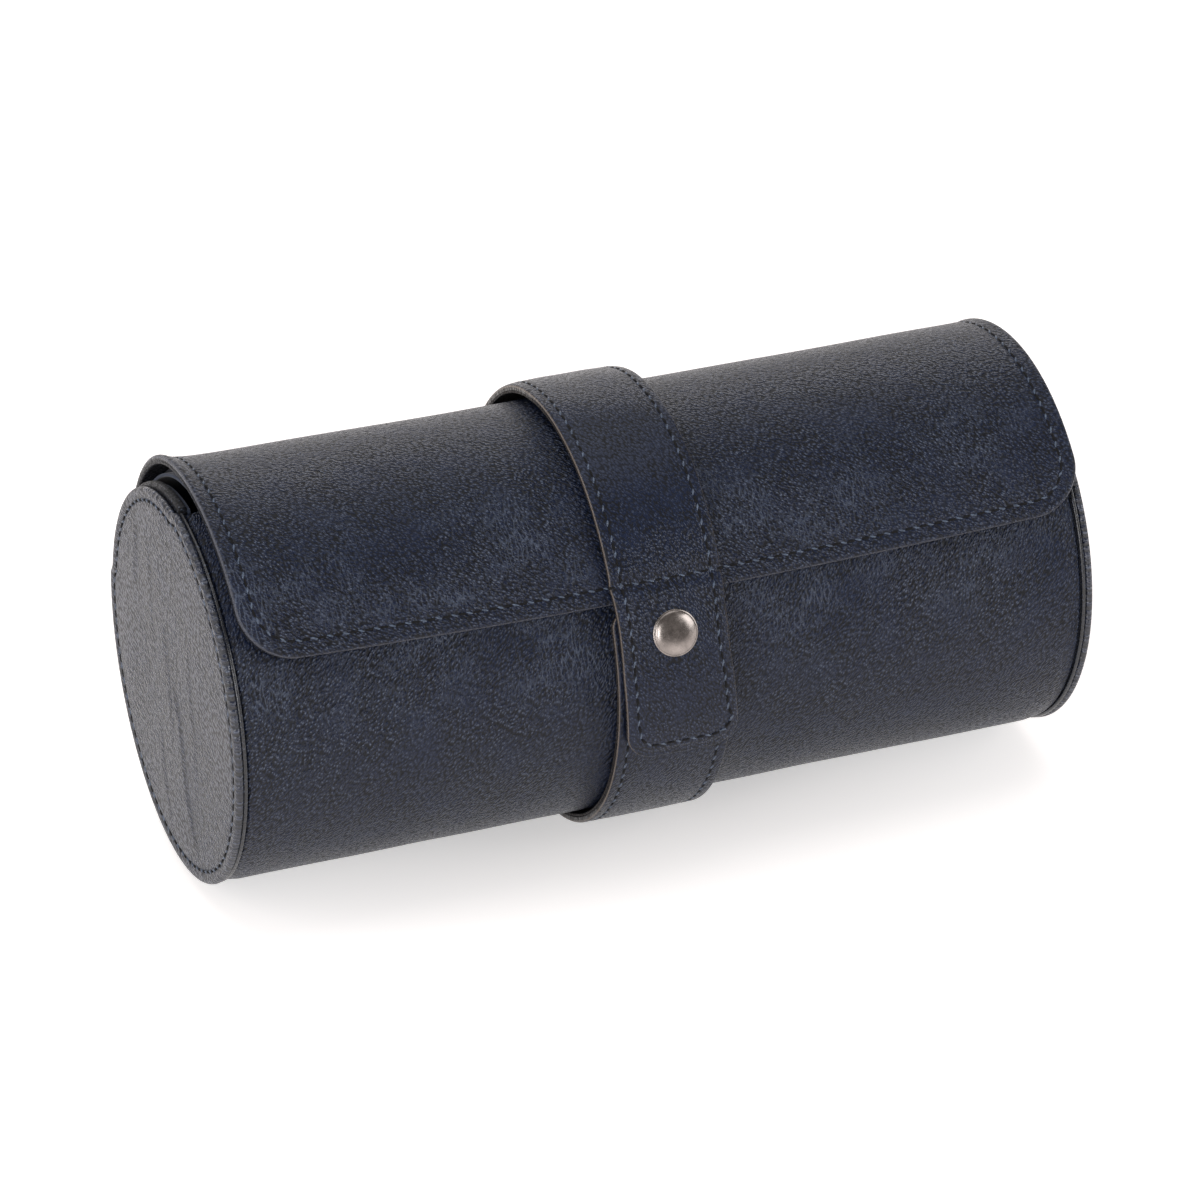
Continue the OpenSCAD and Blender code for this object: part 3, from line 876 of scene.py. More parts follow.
@dataclass(frozen=True)
class Leather:
    """Grained leather: pebbles drawn out one way, long creases in patches, and paler edges: edge paint on
    the strap, a painted highlight on the flap, with painted shade down their sides.

    Args:
        name: The material's name.
        colour: Colour of the dye.
        roughness: Usual roughness.
        on_pattern: Whether the grain follows the flat pattern.
        pebble: Width of a pebble in mm.
        grain: Height of the pebbles in mm.
        wrinkle: Height of the creases in mm.
        turn: Direction of pebbles and creases in degrees.
        edge: Paler colour at the edge: the strap's edge paint, a painted highlight along the flap's rolled
            edge. Down the side and on the inner face it is painted darker, as shade.
        edge_width: Width of the paler edge in mm, by the shade attribute.
        calm: How low the grain sinks in smooth patches, as a share.
        gloss: Specular level.
        painted_glint: How pale the painted glints on the tips are, as a share of the pale glint colour.
        creased: Where a net of pale creases starts, is full, fades and ends along the wrap, in mm.
    """

    name: str
    colour: Colour
    roughness: float = 0.27
    on_pattern: bool = True
    pebble: float = 0.52
    grain: float = 0.17
    wrinkle: float = 0.24
    turn: float = 35.0
    edge: Colour | None = None
    edge_width: float = 0.3
    calm: float = 0.5
    gloss: float = 0.32
    painted_glint: float = 0.85
    creased: tuple[float, float, float, float] | None = None

    def make(self) -> bpy.types.Material:
        """Builds the material.

        The height is the sum of long creases (noise stretched and folded at its middle), pebbles
        (stretched cells whose middles stand up), and fine pores; slow patches scale the first two.
        Each cell draws a number, and the highest ones get a pale tip, a painted glint.
        """
        n = Nodes(self.name)
        turn = math.radians(self.turn)
        plain = n.place(self.on_pattern)
        short = n.place(self.on_pattern, (1.9, 1.0, 1.0), turn)
        long = n.place(self.on_pattern, (4.5, 1.0, 1.0), turn)
        patches = n.noise(plain, 30.0, 2.0)
        level = n.ramp(patches, 0.35, 0.65, self.calm, 1.2)
        cells = n.add(
            "TexVoronoi", voronoi_dimensions="2D" if self.on_pattern else "3D",
            in_Vector=n.drift(short, short, 450.0, (0.9, 0.9, 0.9)), in_Scale=1000.0 / self.pebble,
        )
        near, draw = cells.outputs["Distance"], cells.outputs["Color"]
        grain = n.ramp(near, 0.05, 0.62, 1.0, 0.0)
        fold = n.noise(long, 380.0, 3.0, in_Roughness=0.55, in_Distortion=0.6)
        fine = n.noise(plain, 3000.0, 2.0)
        cloud = n.noise(plain, 110.0, 4.0)
        crease = n.ramp(n.math("ABSOLUTE", n.math("SUBTRACT", fold, 0.5)), 0.0, 0.08, 0.0, 1.0)
        # Painted shade: the pits between the pebbles are painted much darker than the dye.
        shaded_pits = n.ramp(grain, 0.05, 0.5, 1.0, 0.0)
        # Painted glints: the highest-drawn cells get pale tips that stand in for glints of light on the
        # grain.
        picked = n.ramp(n.add("SeparateColor", in_Color=draw).outputs[0], 0.45, 0.85, 0.0, 1.0)
        pale = n.math("MULTIPLY", n.ramp(grain, 0.5, 0.85, 0.0, self.painted_glint), picked)
        base = n.mix(shaded_pits, opaque(self.colour, 0.85), opaque(self.colour, 0.12))
        base = n.mix(n.math("MULTIPLY", pale, level), base, opaque(PALE_GLINT_COLOUR))
        base = n.mix(n.ramp(cloud, 0.45, 0.75, 0.0, 0.3), base, opaque(self.colour, 1.6))
        # Painted highlight: the creases get pale lines that stand in for light along them; their relief is
        # in the bump below.
        if self.creased is not None:
            net = self.net(n, plain, cloud)
            base = n.mix(n.math("MULTIPLY", net, 0.5), base, opaque(PALE_GLINT_COLOUR, 1.2))
        # Edge colour near the edge: edge paint on the strap, a painted highlight on the flap. Lower down the
        # side and on the inner face it is cut to a sixth, as painted shade.
        if self.edge is not None:
            inside = n.add("Attribute", attribute_name=SHADE).outputs["Fac"]
            worn = n.math("ADD", inside, n.math("MULTIPLY", fine, 0.12))
            edge_paint_and_highlight = n.ramp(worn, 0.4 * self.edge_width, self.edge_width, 0.85, 0.0)
            lit_corner_share = n.ramp(inside, -0.14, -0.04, 0.0, 1.0)
            base = n.mix(edge_paint_and_highlight, base, n.mix(lit_corner_share, opaque(self.edge, 0.16), opaque(self.edge)))
        rough = n.math("ADD", n.ramp(shaded_pits, 0.0, 1.0, -0.04, 0.22), n.ramp(patches, 0.3, 0.7, 0.04, -0.04))
        normal = n.bump(n.math("MULTIPLY", crease, level), self.wrinkle * MM, 0.6)
        normal = n.bump(n.math("MULTIPLY", grain, level), self.grain * MM, 1.0, normal)
        normal = n.bump(fine, 0.02 * MM, 0.8, normal)
        if self.creased is not None:
            normal = n.bump(net, 0.14 * MM, 0.9, normal)
        return n.surface(
            Base_Color=base, Roughness=n.math("ADD", rough, self.roughness), Normal=normal,
            Specular_IOR_Level=self.gloss,
        )

    def net(self, n: Nodes, plain: Socket, cloud: Socket) -> Socket:
        """The net of creases: borders of cells drawn long down the wrap, in patches of one band."""
        start, full, fade, end = (place * MM for place in self.creased)
        drawn = n.place(self.on_pattern, (1.0, 5.0, 1.0))
        cells = n.add(
            "TexVoronoi", feature="DISTANCE_TO_EDGE", voronoi_dimensions="2D",
            in_Vector=n.drift(drawn, plain, 160.0, (2.6, 0.5, 0.0)), in_Scale=1000.0,
        )
        line = n.ramp(cells.outputs["Distance"], 0.0, 0.16, 1.0, 0.0)
        along = n.add("SeparateXYZ", in_Vector=plain).outputs[1]
        band = n.math("MULTIPLY", n.ramp(along, start, full, 0.0, 1.0), n.ramp(along, fade, end, 1.0, 0.0))
        shown = n.math("MULTIPLY", band, n.ramp(n.noise(plain, 45.0, 3.0), 0.42, 0.62, 0.0, 1.0))
        broken = n.math("MULTIPLY", line, n.ramp(cloud, 0.36, 0.56, 0.0, 1.0))
        return n.math("MULTIPLY", shown, broken)


@dataclass(frozen=True)
class Suede:
    """Short nap: mottled colour, rough, with a soft sheen."""

    name: str
    colour: Colour
    nap: float = 0.05

    def make(self) -> bpy.types.Material:
        """Builds the material."""
        n = Nodes(self.name)
        at = n.place(False)
        hair = n.noise(at, 2600.0, 4.0, in_Roughness=0.7)
        brushed = n.noise(at, 90.0, 4.0, in_Distortion=0.6)
        base = n.mix(n.ramp(hair, 0.3, 0.7, 0.0, 1.0), opaque(self.colour, 0.78), opaque(self.colour, 1.2))
        return n.surface(
            Base_Color=n.mix(n.ramp(brushed, 0.35, 0.65, 0.0, 0.4), base, opaque(self.colour, 1.35)),
            Roughness=n.ramp(brushed, 0.3, 0.7, 0.88, 0.98), Normal=n.bump(hair, self.nap * MM, 0.8),
            Sheen_Weight=0.3, Sheen_Roughness=0.4, Specular_IOR_Level=0.2,
        )


@dataclass(frozen=True)
class ThreadFinish:
    """Waxed thread, and holes painted near black as their shade, told apart by the shade attribute."""

    name: str
    colour: Colour
    hole: Colour

    def make(self) -> bpy.types.Material:
        """Builds the material."""
        n = Nodes(self.name)
        shade = n.add("Attribute", attribute_name=SHADE).outputs["Fac"]
        ply = n.noise(n.place(False), 1800.0, 2.0)
        strand = n.mix(n.ramp(ply, 0.3, 0.7, 0.0, 1.0), opaque(self.colour, 0.55), opaque(self.colour, 1.3))
        # Painted shade: the holes get the near-black hole colour.
        return n.surface(
            Base_Color=n.mix(shade, opaque(self.hole), strand),
            Roughness=n.ramp(shade, 0.0, 1.0, 0.95, 0.3), Normal=n.bump(ply, 0.03 * MM, 0.7),
        )


@dataclass(frozen=True)
class Metal:
    """Plated metal: faint brushing and small marks."""

    name: str
    colour: Colour
    roughness: float

    def make(self) -> bpy.types.Material:
        """Builds the material."""
        n = Nodes(self.name)
        at = n.place(False)
        marks = n.noise(at, 900.0, 5.0, in_Roughness=0.7)
        cloud = n.ramp(n.noise(at, 260.0, 3.0), 0.35, 0.65, 0.0, 1.0)
        low, high = self.roughness * 0.75, self.roughness * 1.4
        return n.surface(
            Base_Color=n.mix(cloud, opaque(self.colour, 0.62), opaque(self.colour, 1.12)), Metallic=1.0,
            Roughness=n.ramp(marks, 0.3, 0.7, low, high), Normal=n.bump(marks, 0.01 * MM, 0.4),
        )


@dataclass(frozen=True)
class Filler:
    """Board or foam: a mottled dull fill."""

    name: str
    colour: Colour
    speck: float

    def make(self) -> bpy.types.Material:
        """Builds the material."""
        n = Nodes(self.name)
        specks = n.noise(n.place(False), 1000.0 / self.speck, 4.0)
        shown = n.ramp(specks, 0.35, 0.65, 0.0, 1.0)
        return n.surface(
            Base_Color=n.mix(shown, opaque(self.colour, 0.8), opaque(self.colour, 1.15)),
            Roughness=n.ramp(specks, 0.3, 0.7, 0.85, 0.98), Normal=n.bump(specks, 0.08 * MM, 0.6),
        )


# Pale colour painted on grain tips and along creases as glints and highlights.
PALE_GLINT_COLOUR: Colour = (0.118, 0.145, 0.208)
NAVY: Colour = (0.0128, 0.0205, 0.05)
TAUPE: Colour = (0.24, 0.2, 0.17)


class Finish(Enum):
    """The finishes of the roll."""

    WALL = Leather(
        "navy_leather", NAVY, turn=-52.0, edge=(0.07, 0.07, 0.09), edge_width=0.25,
        creased=(36.0, 42.0, 52.0, 68.0)
    )
    # The flap's edge colour is a painted highlight along its rolled edge.
    FLAP = Leather(
        "navy_flap_leather", NAVY, turn=42.0, edge=(0.12, 0.125, 0.15), edge_width=0.5,
        creased=(164.0, 184.0, 193.0, 198.0)
    )
    DISC = Leather(
        "navy_disc_leather", NAVY, 0.3, pebble=0.75, grain=0.26, wrinkle=0.28, turn=12.0, gloss=0.98
    )
    STRAP = Leather(
        "navy_strap_leather", NAVY, turn=60.0, pebble=0.5, grain=0.09, wrinkle=0.1, edge=TAUPE,
        edge_width=0.28, calm=0.35, painted_glint=0.6
    )
    BACKING = Leather(
        "strap_backing_leather", (0.014, 0.016, 0.024), 0.55, edge=(0.06, 0.05, 0.045), edge_width=0.2
    )
    # Near black: a painted shadow as the dark line under the flap's rolled edge, and painted shade on the
    # end boards in the opening.
    EDGE_PAINT = Leather("painted_shade_leather", (0.012, 0.014, 0.022), 0.4, False, grain=0.05, wrinkle=0.05)
    BEAD = Leather("piping_leather", (0.014, 0.018, 0.032), 0.12, False, grain=0.02, wrinkle=0.02, gloss=0.8)
    LINING = Suede("blue_grey_suede", (0.05, 0.064, 0.102))
    CUSHION = Suede("cushion_suede", (0.12, 0.145, 0.2), 0.07)
    # The third colour paints the stitch holes near black, as painted shade.
    THREAD = ThreadFinish("navy_thread", (0.1, 0.132, 0.195), (0.002, 0.002, 0.003))
    CAP = Metal("gunmetal_cap", (0.37, 0.33, 0.31), 0.24)
    SNAP = Metal("plated_snap", (0.52, 0.5, 0.47), 0.28)
    # The board's near-black is painted shade where it shows in the gap under the flap's end.
    BOARD = Filler("dark_fibre_board", (0.03, 0.034, 0.045), 0.5)
    FOAM = Filler("soft_foam", (0.7, 0.68, 0.6), 0.9)

    def material(self) -> bpy.types.Material:
        """The finish's material, made once."""
        found = bpy.data.materials.get(self.value.name)
        return found if found else self.value.make()


def dress(piece: Piece, finish: Finish, slot: Slot | None = None) -> Piece:
    """Gives a piece its material."""
    piece.data.materials.clear()
    piece.data.materials.append(finish.material())
    return piece


# The roll


def unit(angle: float) -> Array:
    """Unit direction in the end view as (x, y, z)."""
    return np.array([0.0, math.cos(math.radians(angle)), math.sin(math.radians(angle))])


def rays(angle: Array) -> Array:
    """Unit directions in the end view as (y, z), for angles in degrees."""
    a = np.radians(angle)
    return np.stack([np.cos(a), np.sin(a)], axis=-1)


def spot(angle: float, radius: float, x: float = 0.0) -> Array:
    """A point in metres by direction and distance from the barrel's axis."""
    return (unit(angle) * radius + np.array([x, 0.0, AXIS_Z])) * MM


@dataclass(frozen=True)
class Crossing:
    """A hinge that leather bends across.

    Args:
        first: The body before the hinge.
        second: The body after it.
        at: The hinge in mm, as (y, z) from the barrel's axis.
        angle: Direction of the hinge from the axis, in degrees.
        half: Half the width of the bend, in mm.
    """

    first: Body
    second: Body
    at: tuple[float, float]
    angle: float
    half: float

    def bend(self, piece: Piece) -> Piece:
        """Bakes the piece's transform into its mesh; the bend across the hinge isn't applied."""
        along = unit(self.angle + 90.0) * self.half
        middle = np.array([0.0, self.at[0], self.at[1] + AXIS_Z])
        start, end = (middle - along) * MM, (middle + along) * MM
        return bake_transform(piece, self.first.value, self.second.value, tuple(start), tuple(end))


FLAP_HINGE = Crossing(Body.TUB, Body.FLAP, (44.3163, 7.8142), HINGE_A, 3.0)
STRAP_HINGE = Crossing(Body.TUB, Body.FLAP, (44.3163, 7.8142), HINGE_A, 4.5)
TAB_HINGE = Crossing(Body.FLAP, Body.TAB, (-42.4505, 27.044), 147.5, 2.5)


def outward(rail: Rail, x: Array, s: Array) -> Array:
    """The leather's outward direction along a seam: from each point to the one a millimetre above."""
    return (rail.place(x, s, np.ones_like(x)) - rail.place(x, s, np.zeros_like(x))) / MM


def even(points: list[tuple[float, float]], corner: float, step: float = 0.25) -> tuple[Array, Array]:
    """A polyline on the flat pattern with round corners, sampled evenly.

    Args:
        points: Corners as (x, s).
        corner: Radius of every inner corner.
        step: Distance between samples in mm.

    Returns:
        The samples' x and s.
    """
    p = np.array(points, float)
    parts = [p[:1]]
    for before, here, after in zip(p[:-2], p[1:-1], p[2:]):
        a = (before - here) / np.linalg.norm(before - here)
        b = (after - here) / np.linalg.norm(after - here)
        t = np.linspace(0, math.pi / 2, 16)[:, None]
        parts.append(here + corner * (a * (1 - np.sin(t)) + b * (1 - np.cos(t))))
    parts.append(p[-1:])
    line = np.concatenate(parts)
    run = np.concatenate([[0.0], np.cumsum(np.hypot(*np.diff(line, axis=0).T))])
    at = np.linspace(0, run[-1], max(int(run[-1] / step), 2))
    return np.interp(at, run, line[:, 0]), np.interp(at, run, line[:, 1])


FRONT_RAIL = rail_of([(95, 290, WALL)])
BACK_RAIL = rail_of([(265, 370, WALL), (370, 520, FLAP)], 5.0)
STRAP_RAIL = rail_of([(262, 370, STRAP_LOW), (370, 507.5, STRAP_UP), (507.5, 562, TAB)], 2.5)
LOWER_RAIL = rail_of([(150, 280, STRAP_LOW)], falling=True)


@dataclass(frozen=True)
class Fold:
    """A long shallow crease that runs up an end disc.

    Args:
        y: Place of its upper end across the disc, in mm.
        top: Height of its upper end over the barrel's axis.
        low: Height of its lower end.
        lean: How far it moves across for each mm of height.
        deep: Depth in mm.
    """

    y: float
    top: float
    low: float
    lean: float
    deep: float

    def at(self, y: Array, z: Array) -> Array:
        """Height in mm: a narrow valley with a low ridge beside it, fading at both ends."""
        across = y - self.y - self.lean * (z - self.top) - 0.8 * np.sin(z / 5.0)
        length = ramp(z, self.low - 4, self.low + 8) * (1 - ramp(z, self.top - 8, self.top + 4))
        return self.deep * (0.6 * bell(across, 2.6, 1.8) - bell(across, 0, 1.2)) * length


@dataclass
class Tub:
    """The fixed part: wall leather, linings, discs, end panels, piping and dividers."""

    side: float = 99.0
    lip: float = 97.0
    joint: float = 270.0
    leather: float = 1.2
    lip_depth: float = 3.6
    disc_out: float = 101.8
    disc_in: float = 99.9
    disc_round: float = 0.8
    disc_low: float = 1.2
    ring_in: float = 2.9
    board_in: float = 97.9
    suede_in: float = 97.1
    inner: float = 41.4
    clear: float = 0.05
    chord_gap: float = 1.5
    piping: float = 0.55
    piping_r: float = 44.42
    piping_x: float = 99.45
    disc_r: float = 45.15
    disc_seam: float = 0.44
    divider_x: float = 32.9
    divider_half: float = 1.6
    mouth: float = 53.5
    divider_top: float = 24.0
    folds: tuple[Fold, ...] = (
        Fold(22.0, 36.0, 10.0, -0.06, 0.2),
        Fold(13.0, 32.0, 2.0, 0.1, 0.12),
        Fold(-3.0, 2.0, -36.0, 0.3, 0.24),
        Fold(9.0, -12.0, -40.0, 0.22, 0.2),
        Fold(2.0, 14.0, -14.0, 0.1, 0.16),
        Fold(-15.0, 18.0, -22.0, 0.05, 0.14),
    )

    def wall_relief(self, x: Array, s: Array) -> Array:
        """Slow waves, and a slight sink beside both seams."""
        waves = Ripples(3, 0.07, 30).at(x, s)
        side = np.minimum(self.side - x, x + self.side)
        return waves * ramp(side, 0, 10) - 0.5 * (1 - ramp(side, 0, 4.5))

    def wall(self) -> Piece:
        """The front of the wall, from the lip to the underside."""
        start, end = FRONT_RAIL.at(self.lip), FRONT_RAIL.at(self.joint)
        edges = [(start, self.side)]
        cut = Pattern(
            [(start, -self.side)], edges, start, end, thickness=self.leather,
            top_round=1.1, under_round=0.2, open_start=False, open_end=True,
        )
        deep = self.lip_depth - self.leather

        def under(x: Array, s: Array) -> Array:
            """The lip is turned in, so it is deeper there."""
            return self.wall_relief(x, s) - deep * (1 - ramp(s - start, 1.1, 1.7))

        piece = wrap("wall_front_leather", FRONT_RAIL, cut, self.wall_relief, under=under)
        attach(piece, Body.TUB.value)
        return dress(piece, Finish.WALL, Slot.BODY)

    def lining(self) -> Piece:
        """The suede inside the front of the wall."""
        rail = rail_of([(95, 290, Circle(0, 0, self.inner + 0.8))])
        start, end = rail.at(98.4), rail.at(self.joint)
        cut = Pattern([(0, -99.8)], [(0, 99.8)], start, end, thickness=0.8, top_round=0.2, open_end=True)
        piece = wrap("wall_front_lining", rail, cut)
        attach(piece, Body.TUB.value)
        return dress(piece, Finish.LINING, Slot.SUEDE)

    def rim(self, angle: Array) -> Array:
        """Radius of an end disc: a little lower where the opening is."""
        open_arc = ramp(angle, 8, 12) * (1 - ramp(angle, 94.5, 98.0))
        return self.disc_r - self.disc_low * open_arc

    def disc(self, side: float, name: str) -> Piece:
        """An end disc: a rolled rim, a sunk ring of stitches, and a puffed middle with long folds."""
        angle = np.arange(0, 360, 1.25)
        outline = self.rim(angle)[:, None] * rays(angle)
        waves = Ripples(11 if side < 0 else 12, 0.16, 34)

        def relief(depth: Array, ring: Array) -> Array:
            """Rolled rim, groove at the ring, puff inside it, slow waves and folds."""
            groove = -0.32 * bell(depth, self.ring_in, 0.6)
            puff = 0.24 * ramp(depth, self.ring_in, 14.0) - 0.24
            rim = 0.1 * bell(depth, 1.4, 0.8)
            y, z = ring[..., 0], ring[..., 1]
            folds = sum(fold.at(y, z) for fold in self.folds)
            return groove + puff + rim + (waves.at(y, z) + folds) * ramp(depth, 3, 9)

        outer, inner = side * self.disc_out, side * self.disc_in
        piece = panel(name + "_disc_leather", outline, outer, inner, self.disc_round, relief, 46)
        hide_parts(name + "_disc")
        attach(piece, Body.TUB.value)
        return dress(piece, Finish.DISC, Slot.DISC)

    def disc_thread(self, side: float, name: str) -> Piece:
        """The ring of stitches near a disc's rim."""
        angle = np.arange(0, 360.01, 0.5)
        r = self.rim(angle % TURN) - self.ring_in
        x = np.full_like(angle, side * (self.disc_out - self.disc_seam))
        y, z = (r[:, None] * rays(angle)).T
        path = np.stack([x, y, z + AXIS_Z], axis=-1) * MM
        normal = np.zeros_like(path) + np.array([side, 0.0, 0.0])
        piece = Thread().sew(name + "_disc_thread", path, normal)
        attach(piece, Body.TUB.value)
        return dress(piece, Finish.THREAD, Slot.DISC)

    def end_panel(self, side: float, name: str) -> list[Piece]:
        """The leather-wrapped board behind a disc, and the suede on its inner side."""
        angle = np.arange(0, 360, 1.5)
        open_arc = ramp(angle, 9.0, 11.0) * (1 - ramp(angle, 96.0, 98.0))
        high = FLAP.grown(-3.5).reach(angle)
        r = self.inner - self.clear + (np.maximum(high, self.inner) - self.inner) * open_arc
        outline = r[:, None] * rays(angle)
        board = panel(name + "_end_panel", outline, side * self.disc_in, side * self.board_in, 0.5)
        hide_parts(name + "_board")
        # The board's near-black leather is painted shade where it shows in the opening under the flap.
        dress(board, Finish.EDGE_PAINT, Slot.DISC)
        suede = panel(name + "_end_suede", outline * 0.985, side * self.suede_in, side * self.board_in, 0.35)
        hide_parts(name + "_lining")
        dress(suede, Finish.LINING, Slot.SUEDE)
        for piece in (board, suede):
            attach(piece, Body.TUB.value)
        return [board, suede]

    def bead(self, side: float, name: str) -> Piece:
        """The twisted piping in the seam of a disc."""
        angle = np.arange(self.lip, TURN + HINGE_A, 0.25)
        normal = np.pad(rays(angle), ((0, 0), (1, 0)))
        path = (normal * self.piping_r + np.array([side * self.piping_x, 0.0, AXIS_Z])) * MM
        piece = cord(name + "_piping_cord", path, normal, self.piping, 0.03, 1.7)
        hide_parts(name + "_piping")
        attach(piece, Body.TUB.value)
        return dress(piece, Finish.BEAD, Slot.PIPING)

    def divider(self, side: float, name: str) -> Piece:
        """A padded divider between two bays, cut straight at the opening."""
        half = math.degrees(math.acos(self.divider_top / self.inner))
        start, end = self.mouth + half + self.chord_gap, self.mouth + TURN - half - self.chord_gap
        bow = (self.inner - self.clear) * rays(np.linspace(start, end, 150))
        share = np.linspace(0.0, 1.0, 42)[:, None]
        chord = bow[-1] + (bow[0] - bow[-1]) * share[1:-1]
        chord = chord + unit(self.mouth)[1:] * 0.8 * np.sqrt(np.sin(math.pi * share[1:-1]))
        outline = np.concatenate([bow, chord])

        def puff(depth: Array, ring: Array) -> Array:
            """The cover's middle stands a little proud of its rim."""
            return 0.35 * ramp(depth, 1.0, 12.0) - 0.35

        x = side * self.divider_x
        piece = panel(name + "_divider", outline, x + self.divider_half, x - self.divider_half, 1.4, puff)
        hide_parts(name + "_divider_cover", name + "_divider_board")
        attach(piece, Body.TUB.value)
        return dress(piece, Finish.LINING, Slot.SUEDE)

    def build(self) -> list[Piece]:
        """Builds and dresses every piece of the tub."""
        made = [self.wall(), self.lining()]
        for side, name in ((-1.0, "left"), (1.0, "right")):
            made += [self.disc(side, name), self.disc_thread(side, name), self.bead(side, name)]
            made += [*self.end_panel(side, name), self.divider(side, name)]
        return made


@dataclass
class Flap:
    """The back of the wall and the flap in one skin, its lining and its edge."""

    left: float = -97.0
    right: float = 100.9
    wall_side: float = 99.0
    front: float = 509.2
    bow: float = 2.0
    leather: float = 1.35
    corner: float = 12.0
    seam_in: float = 3.7
    cut: Pattern = field(init=False)

    def __post_init__(self) -> None:
        """Draws the flat pattern: narrow on the wall, wide on the flap."""
        at = BACK_RAIL.at
        left = [(at(365), -self.wall_side), (at(374), self.left - 0.8), (at(400), self.left)]
        right = [(at(366), self.wall_side), (at(380), 99.7), (at(410), self.right)]
        self.cut = Pattern(
            left, right, at(270), at(self.front), self.corner, self.leather, top_round=0.8, under_round=0.3
        )

    def relief(self, x: Array, s: Array) -> Array:
        """Flares at both ends, slow waves, the groove of the seam and a rolled edge."""
        angle = BACK_RAIL.angle(s)
        on_flap = ramp(angle, 371, 377)
        low, high = self.cut.sides(s)
        left = 2.0 * bell(angle, 425, 34) * np.exp(-np.maximum(x - low, 0) / 5.0)
        right = 0.9 * bell(angle, 395, 28) * np.exp(-np.maximum(high - x, 0) / 5.0)
        inside = self.cut.inside(x, s)
        groove = -0.28 * bell(inside, self.seam_in, 0.55)
        roll = 0.2 * bell(inside, 1.15, 0.7)
        waves = Ripples(5, 0.14, 42).at(x, s) * ramp(inside, 3, 12)
        return on_flap * (left + right + groove + roll) + waves

    def bowed(self, rail: Rail, x: Array, s: Array) -> Array:
        """The front edge bows forward in the middle: a parabola along the barrel."""
        return self.bow * (1 - (x / self.wall_side) ** 2) * ramp(rail.angle(s), 470, 512)

    def shift(self, x: Array, s: Array) -> Array:
        """The bow of the skin's own rail."""
        return self.bowed(BACK_RAIL, x, s)

    def skin(self) -> Piece:
        """The leather from the underside over the hinge to the flap's front edge."""
        piece = wrap("flap_and_back_leather", BACK_RAIL, self.cut, self.relief, self.shift)
        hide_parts("shell_leather", "flap_leather")
        FLAP_HINGE.bend(piece)
        return dress(piece, Finish.FLAP, Slot.BODY)

    def outline(self, inset: float) -> tuple[Array, Array]:
        """A line on the flat pattern, a distance inside the flap's three free edges."""
        start = BACK_RAIL.at(375.5)
        top = BACK_RAIL.at(self.front) - inset
        bends = BACK_RAIL.at(410)
        points = [
            (self.left + inset, start), (self.left + inset, top),
            (self.right - inset, top), (self.right - inset, bends), (99.5 - inset, start),
        ]
        return even(points, self.corner - inset)

    def edge_layer(self) -> Piece:
        """The thinner inner layer that shows along the flap's edge, coloured near black as a painted shadow
        under the roll.
        """
        x, s = self.outline(-0.1)
        across = np.stack([np.gradient(s), -np.gradient(x)], axis=-1)
        across /= np.linalg.norm(across, axis=1, keepdims=True)
        section = [
            (0.5, -1.12), (0.2, -1.16), (0.05, -1.32), (0.0, -1.6), (0.05, -1.86), (0.2, -2.06),
            (0.5, -2.15), (1.1, -2.12), (1.5, -1.88), (6.0, -1.88), (6.0, -1.2),
        ]
        inward, depth = np.array(section).T
        px = x[:, None] + across[:, :1] * inward
        ps = s[:, None] + across[:, 1:] * inward
        lift = self.relief(px, ps) + depth
        points = BACK_RAIL.place(px, ps + self.shift(px, ps), lift)
        start = np.broadcast_to(points[:1].mean(axis=1, keepdims=True), points[:1].shape)
        end = np.broadcast_to(points[-1:].mean(axis=1, keepdims=True), points[-1:].shape)
        points = np.concatenate([start, points, end])
        piece = make_piece("flap_edge_layer", points, quads_of_grid(len(points), len(section), True))
        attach(piece, Body.FLAP.value)
        return dress(piece, Finish.EDGE_PAINT, Slot.BODY)

    def stiffener(self) -> Piece:
        """The board inside the flap, which ends short of the turned edges."""
        rail = rail_of([(365, 460, FLAP.grown(-self.leather))])
        cut = Pattern(
            [(0, self.left + 4.0)], [(0, 97.0)], rail.at(372), rail.at(455.5), 0.0, 1.0, 0.2, 0.2,
            open_start=False,
        )
        piece = wrap("flap_stiffener", rail, cut)
        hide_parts("flap_board")
        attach(piece, Body.FLAP.value)
        return dress(piece, Finish.BOARD, Slot.BOARD)

    def lining(self) -> Piece:
        """The suede inside the back of the wall and the flap, over the board's edge."""
        inner = Circle(0, 0, 42.2)
        rail = rail_of(
            [(265, 369, inner), (369, 455.5, FLAP.grown(-2.4)), (455.5, 520, FLAP.grown(-1.3))], 2.5
        )
        left = [(rail.at(366), -99.8), (rail.at(374), self.left + 1.2)]
        right = [(rail.at(366), 99.8), (rail.at(374), 98.3), (rail.at(410), 98.6)]
        cut = Pattern(left, right, rail.at(270), rail.at(self.front) - 1.0, 11.0, 0.8, 0.2, 0.3)
        piece = wrap("flap_and_back_lining", rail, cut, shift=lambda x, s: self.bowed(rail, x, s))
        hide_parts("shell_lining", "flap_lining")
        FLAP_HINGE.bend(piece)
        return dress(piece, Finish.LINING, Slot.SUEDE)

    def thread(self) -> Piece:
        """The line of stitches inside the flap's free edges."""
        x, s = self.outline(self.seam_in)
        bowed = s + self.shift(x, s)
        path = BACK_RAIL.place(x, bowed, self.relief(x, s))
        piece = Thread().sew("flap_thread", path, outward(BACK_RAIL, x, bowed))
        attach(piece, Body.FLAP.value)
        return dress(piece, Finish.THREAD, Slot.BODY)

    def build(self) -> list[Piece]:
        """Builds and dresses the flap's pieces."""
        return [self.skin(), self.edge_layer(), self.stiffener(), self.lining(), self.thread()]


